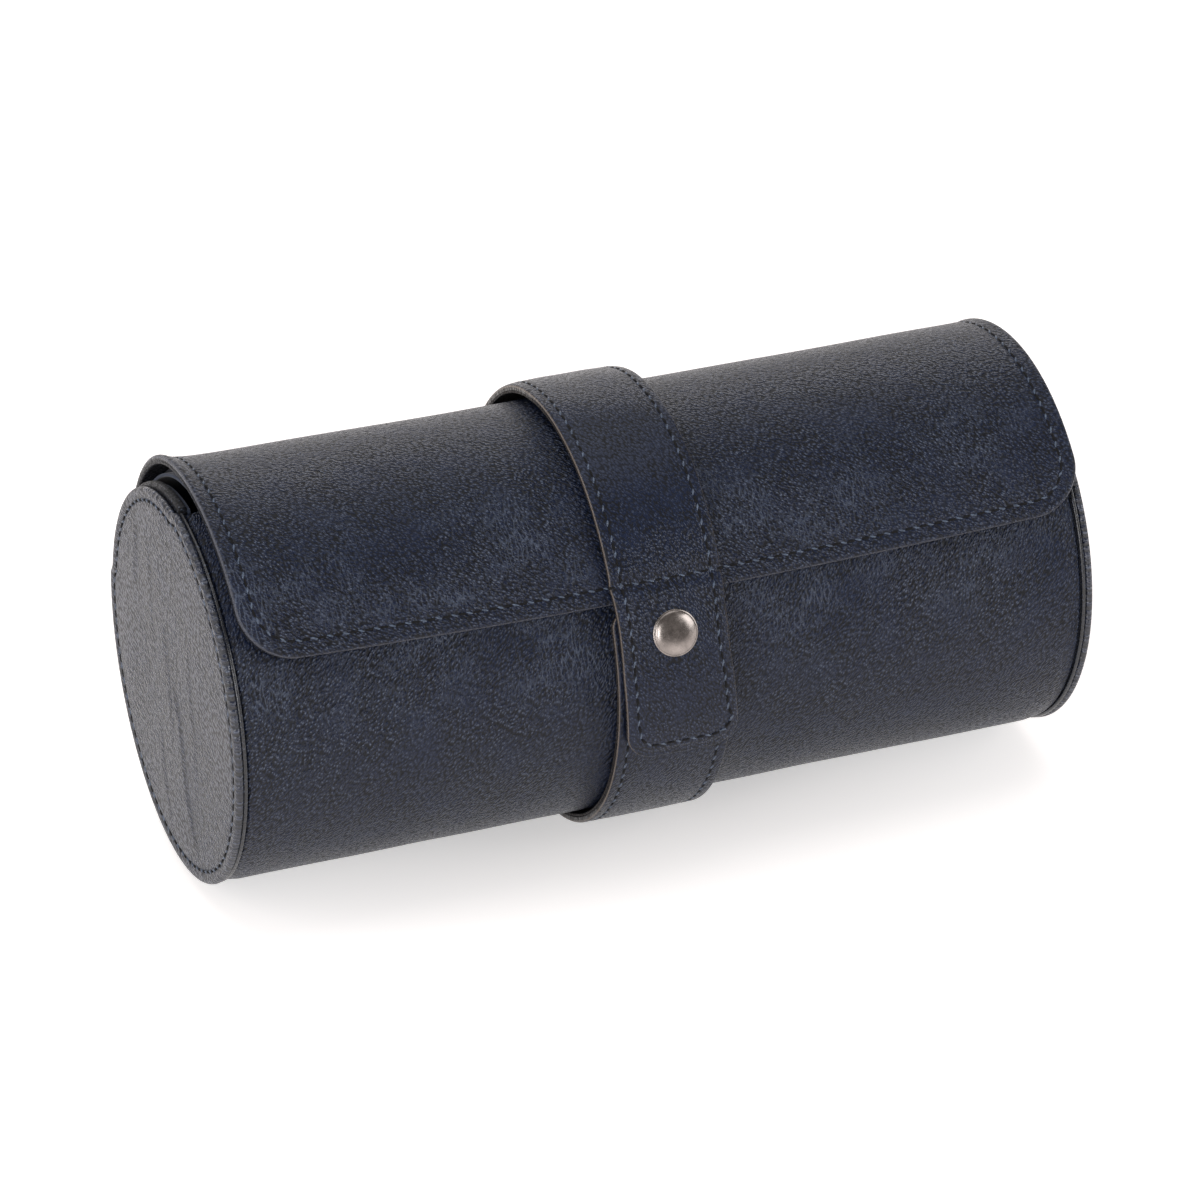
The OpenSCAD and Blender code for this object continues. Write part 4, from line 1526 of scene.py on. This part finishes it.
@dataclass
class Strap:
    """The strap in three stretches: behind and over the flap, the tab, and the one under it."""

    leather: float = 1.4
    backing: float = 0.8
    joint: float = 420.0
    cross: float = 507.2
    tip: float = 555.3
    lower_end: float = 153.5
    seam_in: float = 2.4
    tip_in: float = 3.8
    snap: float = 161.0
    snap_x: float = -1.4
    lower_left: float = -14.4
    lower_right: float = 12.3

    def sides(self, inset: float) -> tuple[Edge, Edge]:
        """Left and right edge along the strap's rail, as (s, x)."""
        at = STRAP_RAIL.at
        seam, tip = at(self.cross), at(self.tip)
        left = [(at(300), -14.2), (seam, -14.2), (at(516), -13.8), (at(531), -13.9), (tip, -12.9)]
        right = [(at(300), 12.3), (seam, 11.7), (at(524), 11.0), (at(537), 12.0), (tip, 13.5)]
        return [(s, x + inset) for s, x in left], [(s, x - inset) for s, x in right]

    def cut(self, first: float, last: float, corner: float, thickness: float, inset: float) -> Pattern:
        """The flat pattern of a stretch of the strap between two directions."""
        left, right = self.sides(inset)
        end = STRAP_RAIL.at(last) - (inset if corner else 0.0)
        return Pattern(
            left, right, STRAP_RAIL.at(first), end, corner, thickness, 0.55, 0.2,
            open_end=not corner, fine=0.5, coarse=1.1, margin=4.5,
        )

    def relief(self, x: Array, s: Array) -> Array:
        """Grooves of the side seams, the dip of the cross seam, a slight crown and slow waves."""
        whole = self.cut(262, self.tip, 7.0, self.leather, 0.0)
        whole.end -= self.tip_in - self.seam_in
        inside = whole.inside(x, s)
        cross = s - STRAP_RAIL.at(self.cross)
        groove = -0.2 * bell(inside, self.seam_in, 0.5)
        dip = -0.55 * bell(cross, 0, 1.3) + 0.18 * bell(cross, 3.2, 1.5) + 0.12 * bell(cross, -3.2, 1.5)
        crown = 0.22 * ramp(inside, 2.5, 9.0) - 0.3 * (1 - ramp(inside, 0.0, 2.2))
        return groove + dip + crown + Ripples(21, 0.07, 24).at(x, s)

    def layers(
        self, name: str, first: float, last: float, corner: float, nodes: tuple[str, str]
    ) -> list[Piece]:
        """The leather and the backing of a stretch of the strap."""
        cut = self.cut(first, last, corner, self.leather, 0.0)
        face = wrap(name + "_leather", STRAP_RAIL, cut, self.relief)
        under = wrap(
            name + "_underside", STRAP_RAIL, self.cut(first, last, corner, self.backing, 0.12),
            lambda x, s: np.zeros_like(x), drop=self.leather, under=self.socket_seat,
        )
        if nodes[0]:
            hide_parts(nodes[0])
            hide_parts(nodes[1])
        dress(face, Finish.STRAP, Slot.STRAP)
        dress(under, Finish.BACKING, Slot.BACKING)
        return [face, under]

    def socket_seat(self, x: Array, s: Array) -> Array:
        """A round pit in the tab's backing that the socket sits in."""
        from_snap = np.hypot(x - self.snap_x, s - STRAP_RAIL.at(TURN + self.snap))
        return 0.74 * (1 - ramp(from_snap, 4.5, 4.9))

    def seam(self, name: str, first: float, last: float, tip: bool) -> Piece:
        """The side seams of a stretch, joined round the tip where it has one."""
        at = STRAP_RAIL.at
        left, right = self.sides(self.seam_in)
        steps = np.linspace(at(first), at(last), 24)
        up = [(float(edge_at(left, s)), float(s)) for s in steps]
        down = [(float(edge_at(right, s)), float(s)) for s in steps[::-1]]
        if tip:
            end = at(last) - self.tip_in
            up = [p for p in up if p[1] < end - 5] + [(up[-1][0], end)]
            down = [(down[0][0], end)] + [p for p in down if p[1] < end - 5]
            lines = [self.rounded(up + down)]
        else:
            lines = [np.array(up).T, np.array(down).T]
        made = []
        for k, (x, s) in enumerate(lines):
            dense = np.linspace(0, len(x) - 1, max(len(x) * 20, 400))
            x = np.interp(dense, np.arange(len(x)), x)
            s = np.interp(dense, np.arange(len(s)), s)
            path = STRAP_RAIL.place(x, s, self.relief(x, s))
            made.append(Thread().sew(f"{name}_{k}", path, outward(STRAP_RAIL, x, s)))
        return made[0] if tip else join(name, made)

    def rounded(self, points: list[tuple[float, float]]) -> tuple[Array, Array]:
        """A line along the strap whose two corners at the tip are round."""
        x, s = np.array(points).T
        corners = [k for k in range(1, len(x) - 1) if abs(s[k] - s.max()) < 1e-6]
        r = 4.5
        first, last = corners[0], corners[-1]
        head = list(zip(x[:first], s[:first]))
        tail = list(zip(x[last + 1:], s[last + 1:]))
        turn = np.linspace(0, math.pi / 2, 14)
        left = [(x[first] + r * (1 - math.cos(t)), s.max() - r * (1 - math.sin(t))) for t in turn]
        right = [(x[last] - r * (1 - math.cos(t)), s.max() - r * (1 - math.sin(t))) for t in turn[::-1]]
        line = np.array(head + left + right + tail)
        return line[:, 0], line[:, 1]

    def cross_seam(self) -> Piece:
        """The stitches across the strap that hold it to the flap."""
        left, right = self.sides(0.4)
        s0 = STRAP_RAIL.at(self.cross)
        x = np.linspace(float(edge_at(left, s0)), float(edge_at(right, s0)), 300)
        s = np.full_like(x, s0)
        path = STRAP_RAIL.place(x, s, self.relief(x, s))
        return Thread(pitch=3.2).sew("cross_seam_thread", path, outward(STRAP_RAIL, x, s))

    def lower_cut(self, thickness: float, inset: float) -> Pattern:
        """The flat pattern of the strap under the tab, with its free end last."""
        start, end = LOWER_RAIL.at(270), LOWER_RAIL.at(self.lower_end) - inset
        return Pattern(
            [(0, self.lower_left + inset)], [(0, self.lower_right - inset)], start, end,
            4.0 - inset, thickness, 0.5, 0.2, fine=0.5, coarse=1.1, margin=4.5,
        )

    def lower_relief(self, x: Array, s: Array) -> Array:
        """Grooves of the side seams and a slight crown."""
        inside = self.lower_cut(self.leather, 0.0).inside(x, s)
        return -0.2 * bell(inside, self.seam_in, 0.5) + 0.1 * ramp(inside, 2.5, 9.0) - 0.1

    def lower(self) -> list[Piece]:
        """The stretch from the underside up to the free end that carries the stud."""
        face = wrap("lower_strap_leather", LOWER_RAIL, self.lower_cut(self.leather, 0.0), self.lower_relief)
        under = wrap(
            "lower_strap_back", LOWER_RAIL, self.lower_cut(self.backing, 0.12), drop=self.leather
        )
        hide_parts("lower_strap")
        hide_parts("lower_strap_backing")
        end = LOWER_RAIL.at(self.lower_end) - self.seam_in
        base = LOWER_RAIL.at(266)
        left, right = self.lower_left + self.seam_in, self.lower_right - self.seam_in
        x, s = even([(left, base), (left, end), (right, end), (right, base)], 2.0)
        path = LOWER_RAIL.place(x, s, self.lower_relief(x, s))
        thread = Thread().sew("lower_strap_thread", path, outward(LOWER_RAIL, x, s))
        for piece in (face, under, thread):
            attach(piece, Body.TUB.value)
        dress(face, Finish.STRAP, Slot.STRAP)
        dress(under, Finish.BACKING, Slot.BACKING)
        dress(thread, Finish.THREAD, Slot.STRAP)
        return [face, under, thread]

    def snap_parts(self) -> list[Piece]:
        """Cap and socket on the tab, and the stud on the strap below."""
        axis, side = unit(self.snap), np.array([1.0, 0.0, 0.0])
        top = float(TAB.reach(np.array(self.snap)))
        base = top - self.leather - self.backing
        cap_profile = [
            (0.0, -1.0), (1.4, -1.0), (1.4, 0.02), (5.1, 0.02), (5.22, 0.06), (5.26, 0.16),
            (5.22, 0.26), (5.1, 0.32), (4.98, 0.32),
        ]
        share = np.sin(np.linspace(math.pi / 2, 0.0, 26))
        dome = [(4.95 * r, 0.34 + 1.05 * (1 - r**2.6) ** 0.62) for r in share]
        cap = revolve("snap_cap_dome", cap_profile + dome, spot(self.snap, top, self.snap_x), axis, side)
        ring = [
            (0.0, 0.7), (4.45, 0.7), (4.45, 0.0), (4.95, -0.02), (5.05, -0.12), (4.95, -0.22),
            (4.0, -0.25), (3.8, -0.15), (3.75, 0.4), (0.0, 0.42),
        ]
        socket = revolve("snap_socket_ring", ring, spot(self.snap, base, self.snap_x), axis, side)
        low = float(STRAP_LOW.reach(np.array(self.snap)))
        head = [
            (0.0, -0.2), (4.2, -0.2), (4.25, 0.02), (4.15, 0.14), (3.1, 0.18), (2.9, 0.3),
            (3.1, 0.5), (3.2, 0.62), (3.1, 0.74), (2.6, 0.84), (1.2, 0.85), (0.0, 0.85),
        ]
        stud = revolve("snap_stud_head", head, spot(self.snap, low, self.snap_x), axis, side)
        for piece, node, body, finish, slot in (
            (cap, "snap_cap", Body.TAB, Finish.CAP, Slot.CAP),
            (socket, "snap_socket", Body.TAB, Finish.SNAP, Slot.SNAP),
            (stud, "snap_stud", Body.TUB, Finish.SNAP, Slot.SNAP),
        ):
            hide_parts(node)
            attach(piece, body.value)
            dress(piece, finish, slot)
        return [cap, socket, stud]

    def build(self) -> list[Piece]:
        """Builds and dresses the strap's pieces."""
        over = self.layers("upper_strap", 270, self.joint, 0.0, ("upper_strap", "upper_strap_backing"))
        sides = self.seam("upper_strap_thread", 270, self.joint, False)
        over.append(dress(sides, Finish.THREAD, Slot.STRAP))
        for piece in over:
            STRAP_HINGE.bend(piece)
        tab = self.layers("tab_strap", self.joint, self.tip, 7.0, ("tab_leather", "tab_backing"))
        round_tip = self.seam("tab_thread", self.joint, self.tip, True)
        tab.append(dress(round_tip, Finish.THREAD, Slot.STRAP))
        tab.append(dress(self.cross_seam(), Finish.THREAD, Slot.STRAP))
        for piece in tab:
            TAB_HINGE.bend(piece)
        return over + tab + self.lower() + self.snap_parts()


def join(name: str, pieces: list[Piece]) -> Piece:
    """Joins pieces into the first one and names it."""
    with bpy.context.temp_override(active_object=pieces[0], selected_editable_objects=pieces):
        bpy.ops.object.join()
    pieces[0].name = name
    pieces[0].data.name = name
    return pieces[0]


@dataclass
class Cushions:
    """Three soft cushions that a watch is worn round, each with two gathered ends.

    Args:
        length: Length of a cushion along the barrel, in mm.
        width: Width of its section.
        depth: Depth of its section, from the opening inwards.
        oval: Power of the section's oval; 2 is an ellipse, and more is squarer.
        crown: Share by which the wrap is drawn in at its seams.
        seat: Radius of the lining that it rests on.
        mouth: Direction of the opening, in degrees.
        spacing: Distance between the middles of two cushions.
        around: Number of points round the form.
        along: Number of rings of the wrap.
        rings: Number of rings of an end.
        snug: Size of the section against the CAD's.
        seam_in: Distance of a seam from the end.
        swell: Furthest that the simulation may move a point, in mm.
        welt: Radius of a welt.
    """

    length: float = 50.0
    width: float = 51.0
    depth: float = 48.0
    oval: float = 2.3
    crown: float = 0.1
    seat: float = 41.1
    mouth: float = 53.5
    spacing: float = 65.8
    around: int = 64
    along: int = 22
    rings: int = 9
    snug: float = 0.985
    seam_in: float = 2.6
    swell: float = 1.6
    welt: float = 0.9

    @property
    def seam(self) -> float:
        """Place of a seam along the cushion, from its middle, in mm."""
        return self.length / 2 - self.seam_in

    def section(self, count: int) -> tuple[Array, Array]:
        """The oval section's y and z: a circle's cosine and sine to the power of 2 / oval."""
        a = np.linspace(0, 2 * math.pi, count, endpoint=False)
        c, s = np.cos(a), np.sin(a)
        y = self.width / 2 * np.sign(c) * np.abs(c) ** (2 / self.oval)
        z = self.depth / 2 * np.sign(s) * np.abs(s) ** (2 / self.oval)
        return y, z

    def ring(self, scale: Array, x: Array) -> Array:
        """Rings of the oval section, scaled and placed along the cushion."""
        y, z = self.section(self.around)
        points = np.stack([np.zeros_like(y), y, z], axis=-1)[None] * scale[:, None, None]
        points[..., 0] = x[:, None]
        return points

    def form(self) -> Piece:
        """A closed skin: the wrap drawn in to both seams, and two ends that bulge."""
        t = np.linspace(-1, 1, self.along)
        wrap_scale = self.snug * (1 - self.crown * np.abs(t) ** 3)
        end = np.linspace(1, 0, self.rings)
        bulge = self.seam + 1.4 * np.sqrt(1 - end**2)
        end_scale = wrap_scale[-1] * end
        scale = np.concatenate([end_scale[::-1][:-1], wrap_scale, end_scale[1:]])
        x = np.concatenate([-bulge[::-1][:-1], t * self.seam, bulge[1:]])
        points = self.ring(scale, x) * MM
        piece = make_piece("cushion_form", points, quads_of_grid(len(points), self.around, True))
        return piece

    def puffed(self) -> Piece:
        """Fills the form with air by cloth simulation, held at its two seams."""
        piece = self.form()
        mesh = piece.data
        before = np.empty(len(mesh.vertices) * 3)
        mesh.vertices.foreach_get("co", before)
        before = before.reshape(-1, 3)
        seam = self.seam * MM
        held = piece.vertex_groups.new(name="held")
        at_seam = np.abs(np.abs(before[:, 0]) - seam) < 0.2 * MM
        held.add(np.flatnonzero(at_seam).tolist(), 1.0, "REPLACE")
        cloth = piece.modifiers.new("air", "CLOTH")
        cloth.settings.quality = 6
        cloth.settings.mass = 0.2
        cloth.settings.tension_stiffness = 12
        cloth.settings.compression_stiffness = 12
        cloth.settings.shear_stiffness = 6
        cloth.settings.bending_stiffness = 0.4
        cloth.settings.use_pressure = True
        cloth.settings.uniform_pressure_force = 4.0
        cloth.settings.vertex_group_mass = "held"
        cloth.settings.effector_weights.gravity = 0.0
        scene = bpy.context.scene
        for frame in range(1, 21):
            scene.frame_set(frame)
        shape = piece.evaluated_get(bpy.context.evaluated_depsgraph_get())
        after = np.empty(len(mesh.vertices) * 3)
        shape.data.vertices.foreach_get("co", after)
        moved = after.reshape(-1, 3) - before
        piece.modifiers.remove(cloth)
        scene.frame_set(1)
        far = np.linalg.norm(moved, axis=1, keepdims=True)
        capped = moved * np.minimum(1.0, self.swell * MM / np.maximum(far, 1e-9))
        mesh.vertices.foreach_set("co", (before + capped).ravel())
        mesh.update()
        return piece

    def place(self, piece: Piece, x: float) -> None:
        """Turns a piece towards the opening, seats it in the tub and moves it to its bay."""
        y, z = self.section(36)
        drop = float(np.min(z + np.sqrt(self.seat**2 - y**2)))
        turn = Matrix.Rotation(math.radians(self.mouth - 90), 4, "X")
        down = Matrix.Translation(Vector((0, 0, -drop * MM)))
        piece.data.transform(Matrix.Translation(Vector((x * MM, 0, AXIS_Z * MM))) @ turn @ down)
        piece.data.update()

    def build(self) -> list[Piece]:
        """Builds the three cushions from one form, each with its welts."""
        form = self.puffed()
        made = []
        for name, x in (("left", -self.spacing), ("middle", 0.0), ("right", self.spacing)):
            pad = bpy.data.objects.new(name + "_cushion_pad", form.data.copy())
            bpy.context.scene.collection.objects.link(pad)
            finer = pad.modifiers.new("finer", "SUBSURF")
            finer.levels = 1
            finer.render_levels = 1
            self.place(pad, x)
            nodes = [f"{name}_cushion_{part}" for part in ("wrap", "ends", "core")]
            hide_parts(*nodes)
            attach(pad, f"{name}_cushion")
            made.append(dress(pad, Finish.CUSHION, Slot.CUSHION))
            for side in (-1.0, 1.0):
                scale = np.array([self.snug * (1 - self.crown)])
                edge = self.ring(scale, np.array([side * self.seam]))[0]
                loop = np.concatenate([edge, edge[:1]])
                out = loop * np.array([0.0, 1.0, 1.0])
                out /= np.linalg.norm(out, axis=1, keepdims=True)
                word = "left" if side < 0 else "right"
                welt = cord(f"{name}_cushion_{word}_welt", loop * MM, out, self.welt, closed=True)
                self.place(welt, x)
                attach(welt, f"{name}_cushion")
                made.append(dress(welt, Finish.CUSHION, Slot.CUSHION))
        bpy.data.objects.remove(form)
        return made


@dataclass
class Studio:
    """White floor, soft lamps, white surroundings and the camera.

    Args:
        azimuth: Direction of the camera from the roll, in degrees from the front.
        elevation: Its height over the floor, as an angle in degrees.
        roll: Its turn about the line of sight, in degrees.
        distance: Its distance from the barrel's axis, in metres.
        lens: Its focal length in mm, for a sensor of 36 mm.
        across: Its shift to the side, in metres.
        above: Its shift upwards, in metres.
    """

    azimuth: float = -21.645
    elevation: float = 28.095
    roll: float = -0.147
    distance: float = 1.2759
    lens: float = 169.32
    across: float = -0.00009
    above: float = 0.00054

    def camera(self) -> None:
        """Sets the camera at the photograph's viewing angle."""
        a, e, r = (math.radians(v) for v in (self.azimuth, self.elevation, self.roll))
        back = Vector((math.sin(a) * math.cos(e), -math.cos(a) * math.cos(e), math.sin(e)))
        right = (-back).cross(Vector((0, 0, 1))).normalized()
        up = right.cross(-back)
        turned = math.cos(r) * right + math.sin(r) * up
        upright = -math.sin(r) * right + math.cos(r) * up
        place = back * self.distance + right * self.across + up * self.above + Vector((0, 0, AXIS_Z * MM))
        data = bpy.data.cameras.new("camera")
        data.lens = self.lens
        data.sensor_width = 36.0
        data.clip_start = 0.05
        data.clip_end = 50.0
        camera = bpy.data.objects.new("camera", data)
        frame = Matrix((turned, upright, back)).transposed().to_4x4()
        camera.matrix_world = Matrix.Translation(place) @ frame
        bpy.context.scene.collection.objects.link(camera)
        bpy.context.scene.camera = camera

    def floor(self) -> None:
        """A large floor that keeps the shadow and turns white away from the roll.

        It glows for the camera, less close to the roll than far from it, which paints a shadow round the
        roll, and in reflections.
        """
        mesh = bpy.data.meshes.new("floor")
        size = 6.0
        corners = [(-size, -size, 0.0), (size, -size, 0.0), (size, size, 0.0), (-size, size, 0.0)]
        mesh.from_pydata(corners, [], [(0, 1, 2, 3)])
        floor = bpy.data.objects.new("floor", mesh)
        bpy.context.scene.collection.objects.link(floor)
        n = Nodes("white_floor")
        n.surface(Base_Color=(0.86, 0.805, 0.785, 1.0), Roughness=0.9, Specular_IOR_Level=0.1)
        path = n.add("LightPath")
        shine = n.math("MULTIPLY", path.outputs["Is Glossy Ray"], 0.5)
        # Painted shadow: the camera glow is weaker near the roll, so the floor is painted darker there.
        squeezed = n.place(False, (2.2, 1.0, 1.0))
        away = n.add("VectorMath", operation="LENGTH", in_0=squeezed).outputs["Value"]
        glow_with_painted_shadow = n.ramp(away, 0.02, 0.058, 0.46, 0.66)
        glow_level = n.math("MULTIPLY_ADD", path.outputs["Is Camera Ray"], glow_with_painted_shadow, shine)
        glow = n.add("Emission", in_Color=(1.0, 1.0, 1.0, 1.0), in_Strength=glow_level)
        both = n.add("AddShader", in_0=n.shader.outputs[0], in_1=glow.outputs[0])
        n.link(both.outputs[0], n.output.inputs[0])
        mesh.materials.append(n.material)

    def world(self) -> None:
        """White for the camera. Other rays see a dim warm surround with a bright band behind."""
        world = bpy.data.worlds.new("studio")
        world.use_nodes = True
        w = Tree(world.node_tree)
        seen = w.add("LightPath").outputs["Is Camera Ray"]
        direction = w.add("TexCoord").outputs["Generated"]
        behind = w.add("VectorMath", operation="DOT_PRODUCT", in_0=direction, in_1=(0.25, 0.95, -0.15))
        around = w.ramp(behind.outputs["Value"], 0.72, 0.95, 0.22, 1.2)
        strength = w.add("Mix", in_0=seen, in_2=around, in_3=1.0).outputs[0]
        tint = w.mix(seen, (1.0, 0.94, 0.91, 1.0), (1.0, 1.0, 1.0, 1.0))
        back = w.add("Background", in_Color=tint, in_Strength=strength)
        w.link(back.outputs[0], w.add("OutputWorld").inputs[0])
        bpy.context.scene.world = world

    def lamp(self, name: str, place: Triple, size: tuple[float, float], power: float) -> None:
        """A soft rectangular lamp that points at the roll."""
        data = bpy.data.lights.new(name, "AREA")
        data.shape = "RECTANGLE"
        data.size, data.size_y = size
        data.energy = power
        lamp = bpy.data.objects.new(name, data)
        lamp.location = place
        away = Vector(place) - Vector((0, 0, 0.05))
        lamp.rotation_euler = away.to_track_quat("Z", "Y").to_euler()
        bpy.context.scene.collection.objects.link(lamp)

    def build(self) -> None:
        """Sets up the whole studio."""
        scene = bpy.context.scene
        scene.view_settings.view_transform = "Standard"
        self.camera()
        self.floor()
        self.world()
        self.lamp("overhead", (0.0, 0.3, 1.6), (2.0, 1.6), 9.0)
        self.lamp("left_front", (-1.2, -1.1, 0.5), (0.5, 0.8), 5.0)
        self.lamp("front", (-0.75, -1.75, 0.55), (0.4, 0.9), 6.0)
        self.lamp("left_side", (-1.5, 0.1, 0.8), (0.9, 0.9), 7.0)
        self.lamp("right_side", (1.4, -0.9, 0.7), (1.2, 0.9), 9.5)
        self.lamp("behind", (0.3, 1.5, 0.7), (2.4, 0.9), 4.0)


def main() -> None:
    """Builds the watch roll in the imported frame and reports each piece."""
    logging.basicConfig(level=logging.INFO, format="%(name)s: %(message)s")
    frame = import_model()
    LOG.info("frame with %d nodes", len(frame["nodes"]))
    Studio().build()
    for part in (Tub(), Flap(), Strap(), Cushions()):
        for piece in part.build():
            LOG.info("%s: %s, %d faces", type(part).__name__, piece.name, len(piece.data.polygons))
    for node, finish in (("shell_board", Finish.BOARD), ("stud_rivet", Finish.SNAP)):
        solid = bpy.data.objects[node]
        solid.data.materials.clear()
        solid.data.materials.append(finish.material())


if __name__ == "__main__":
    main()
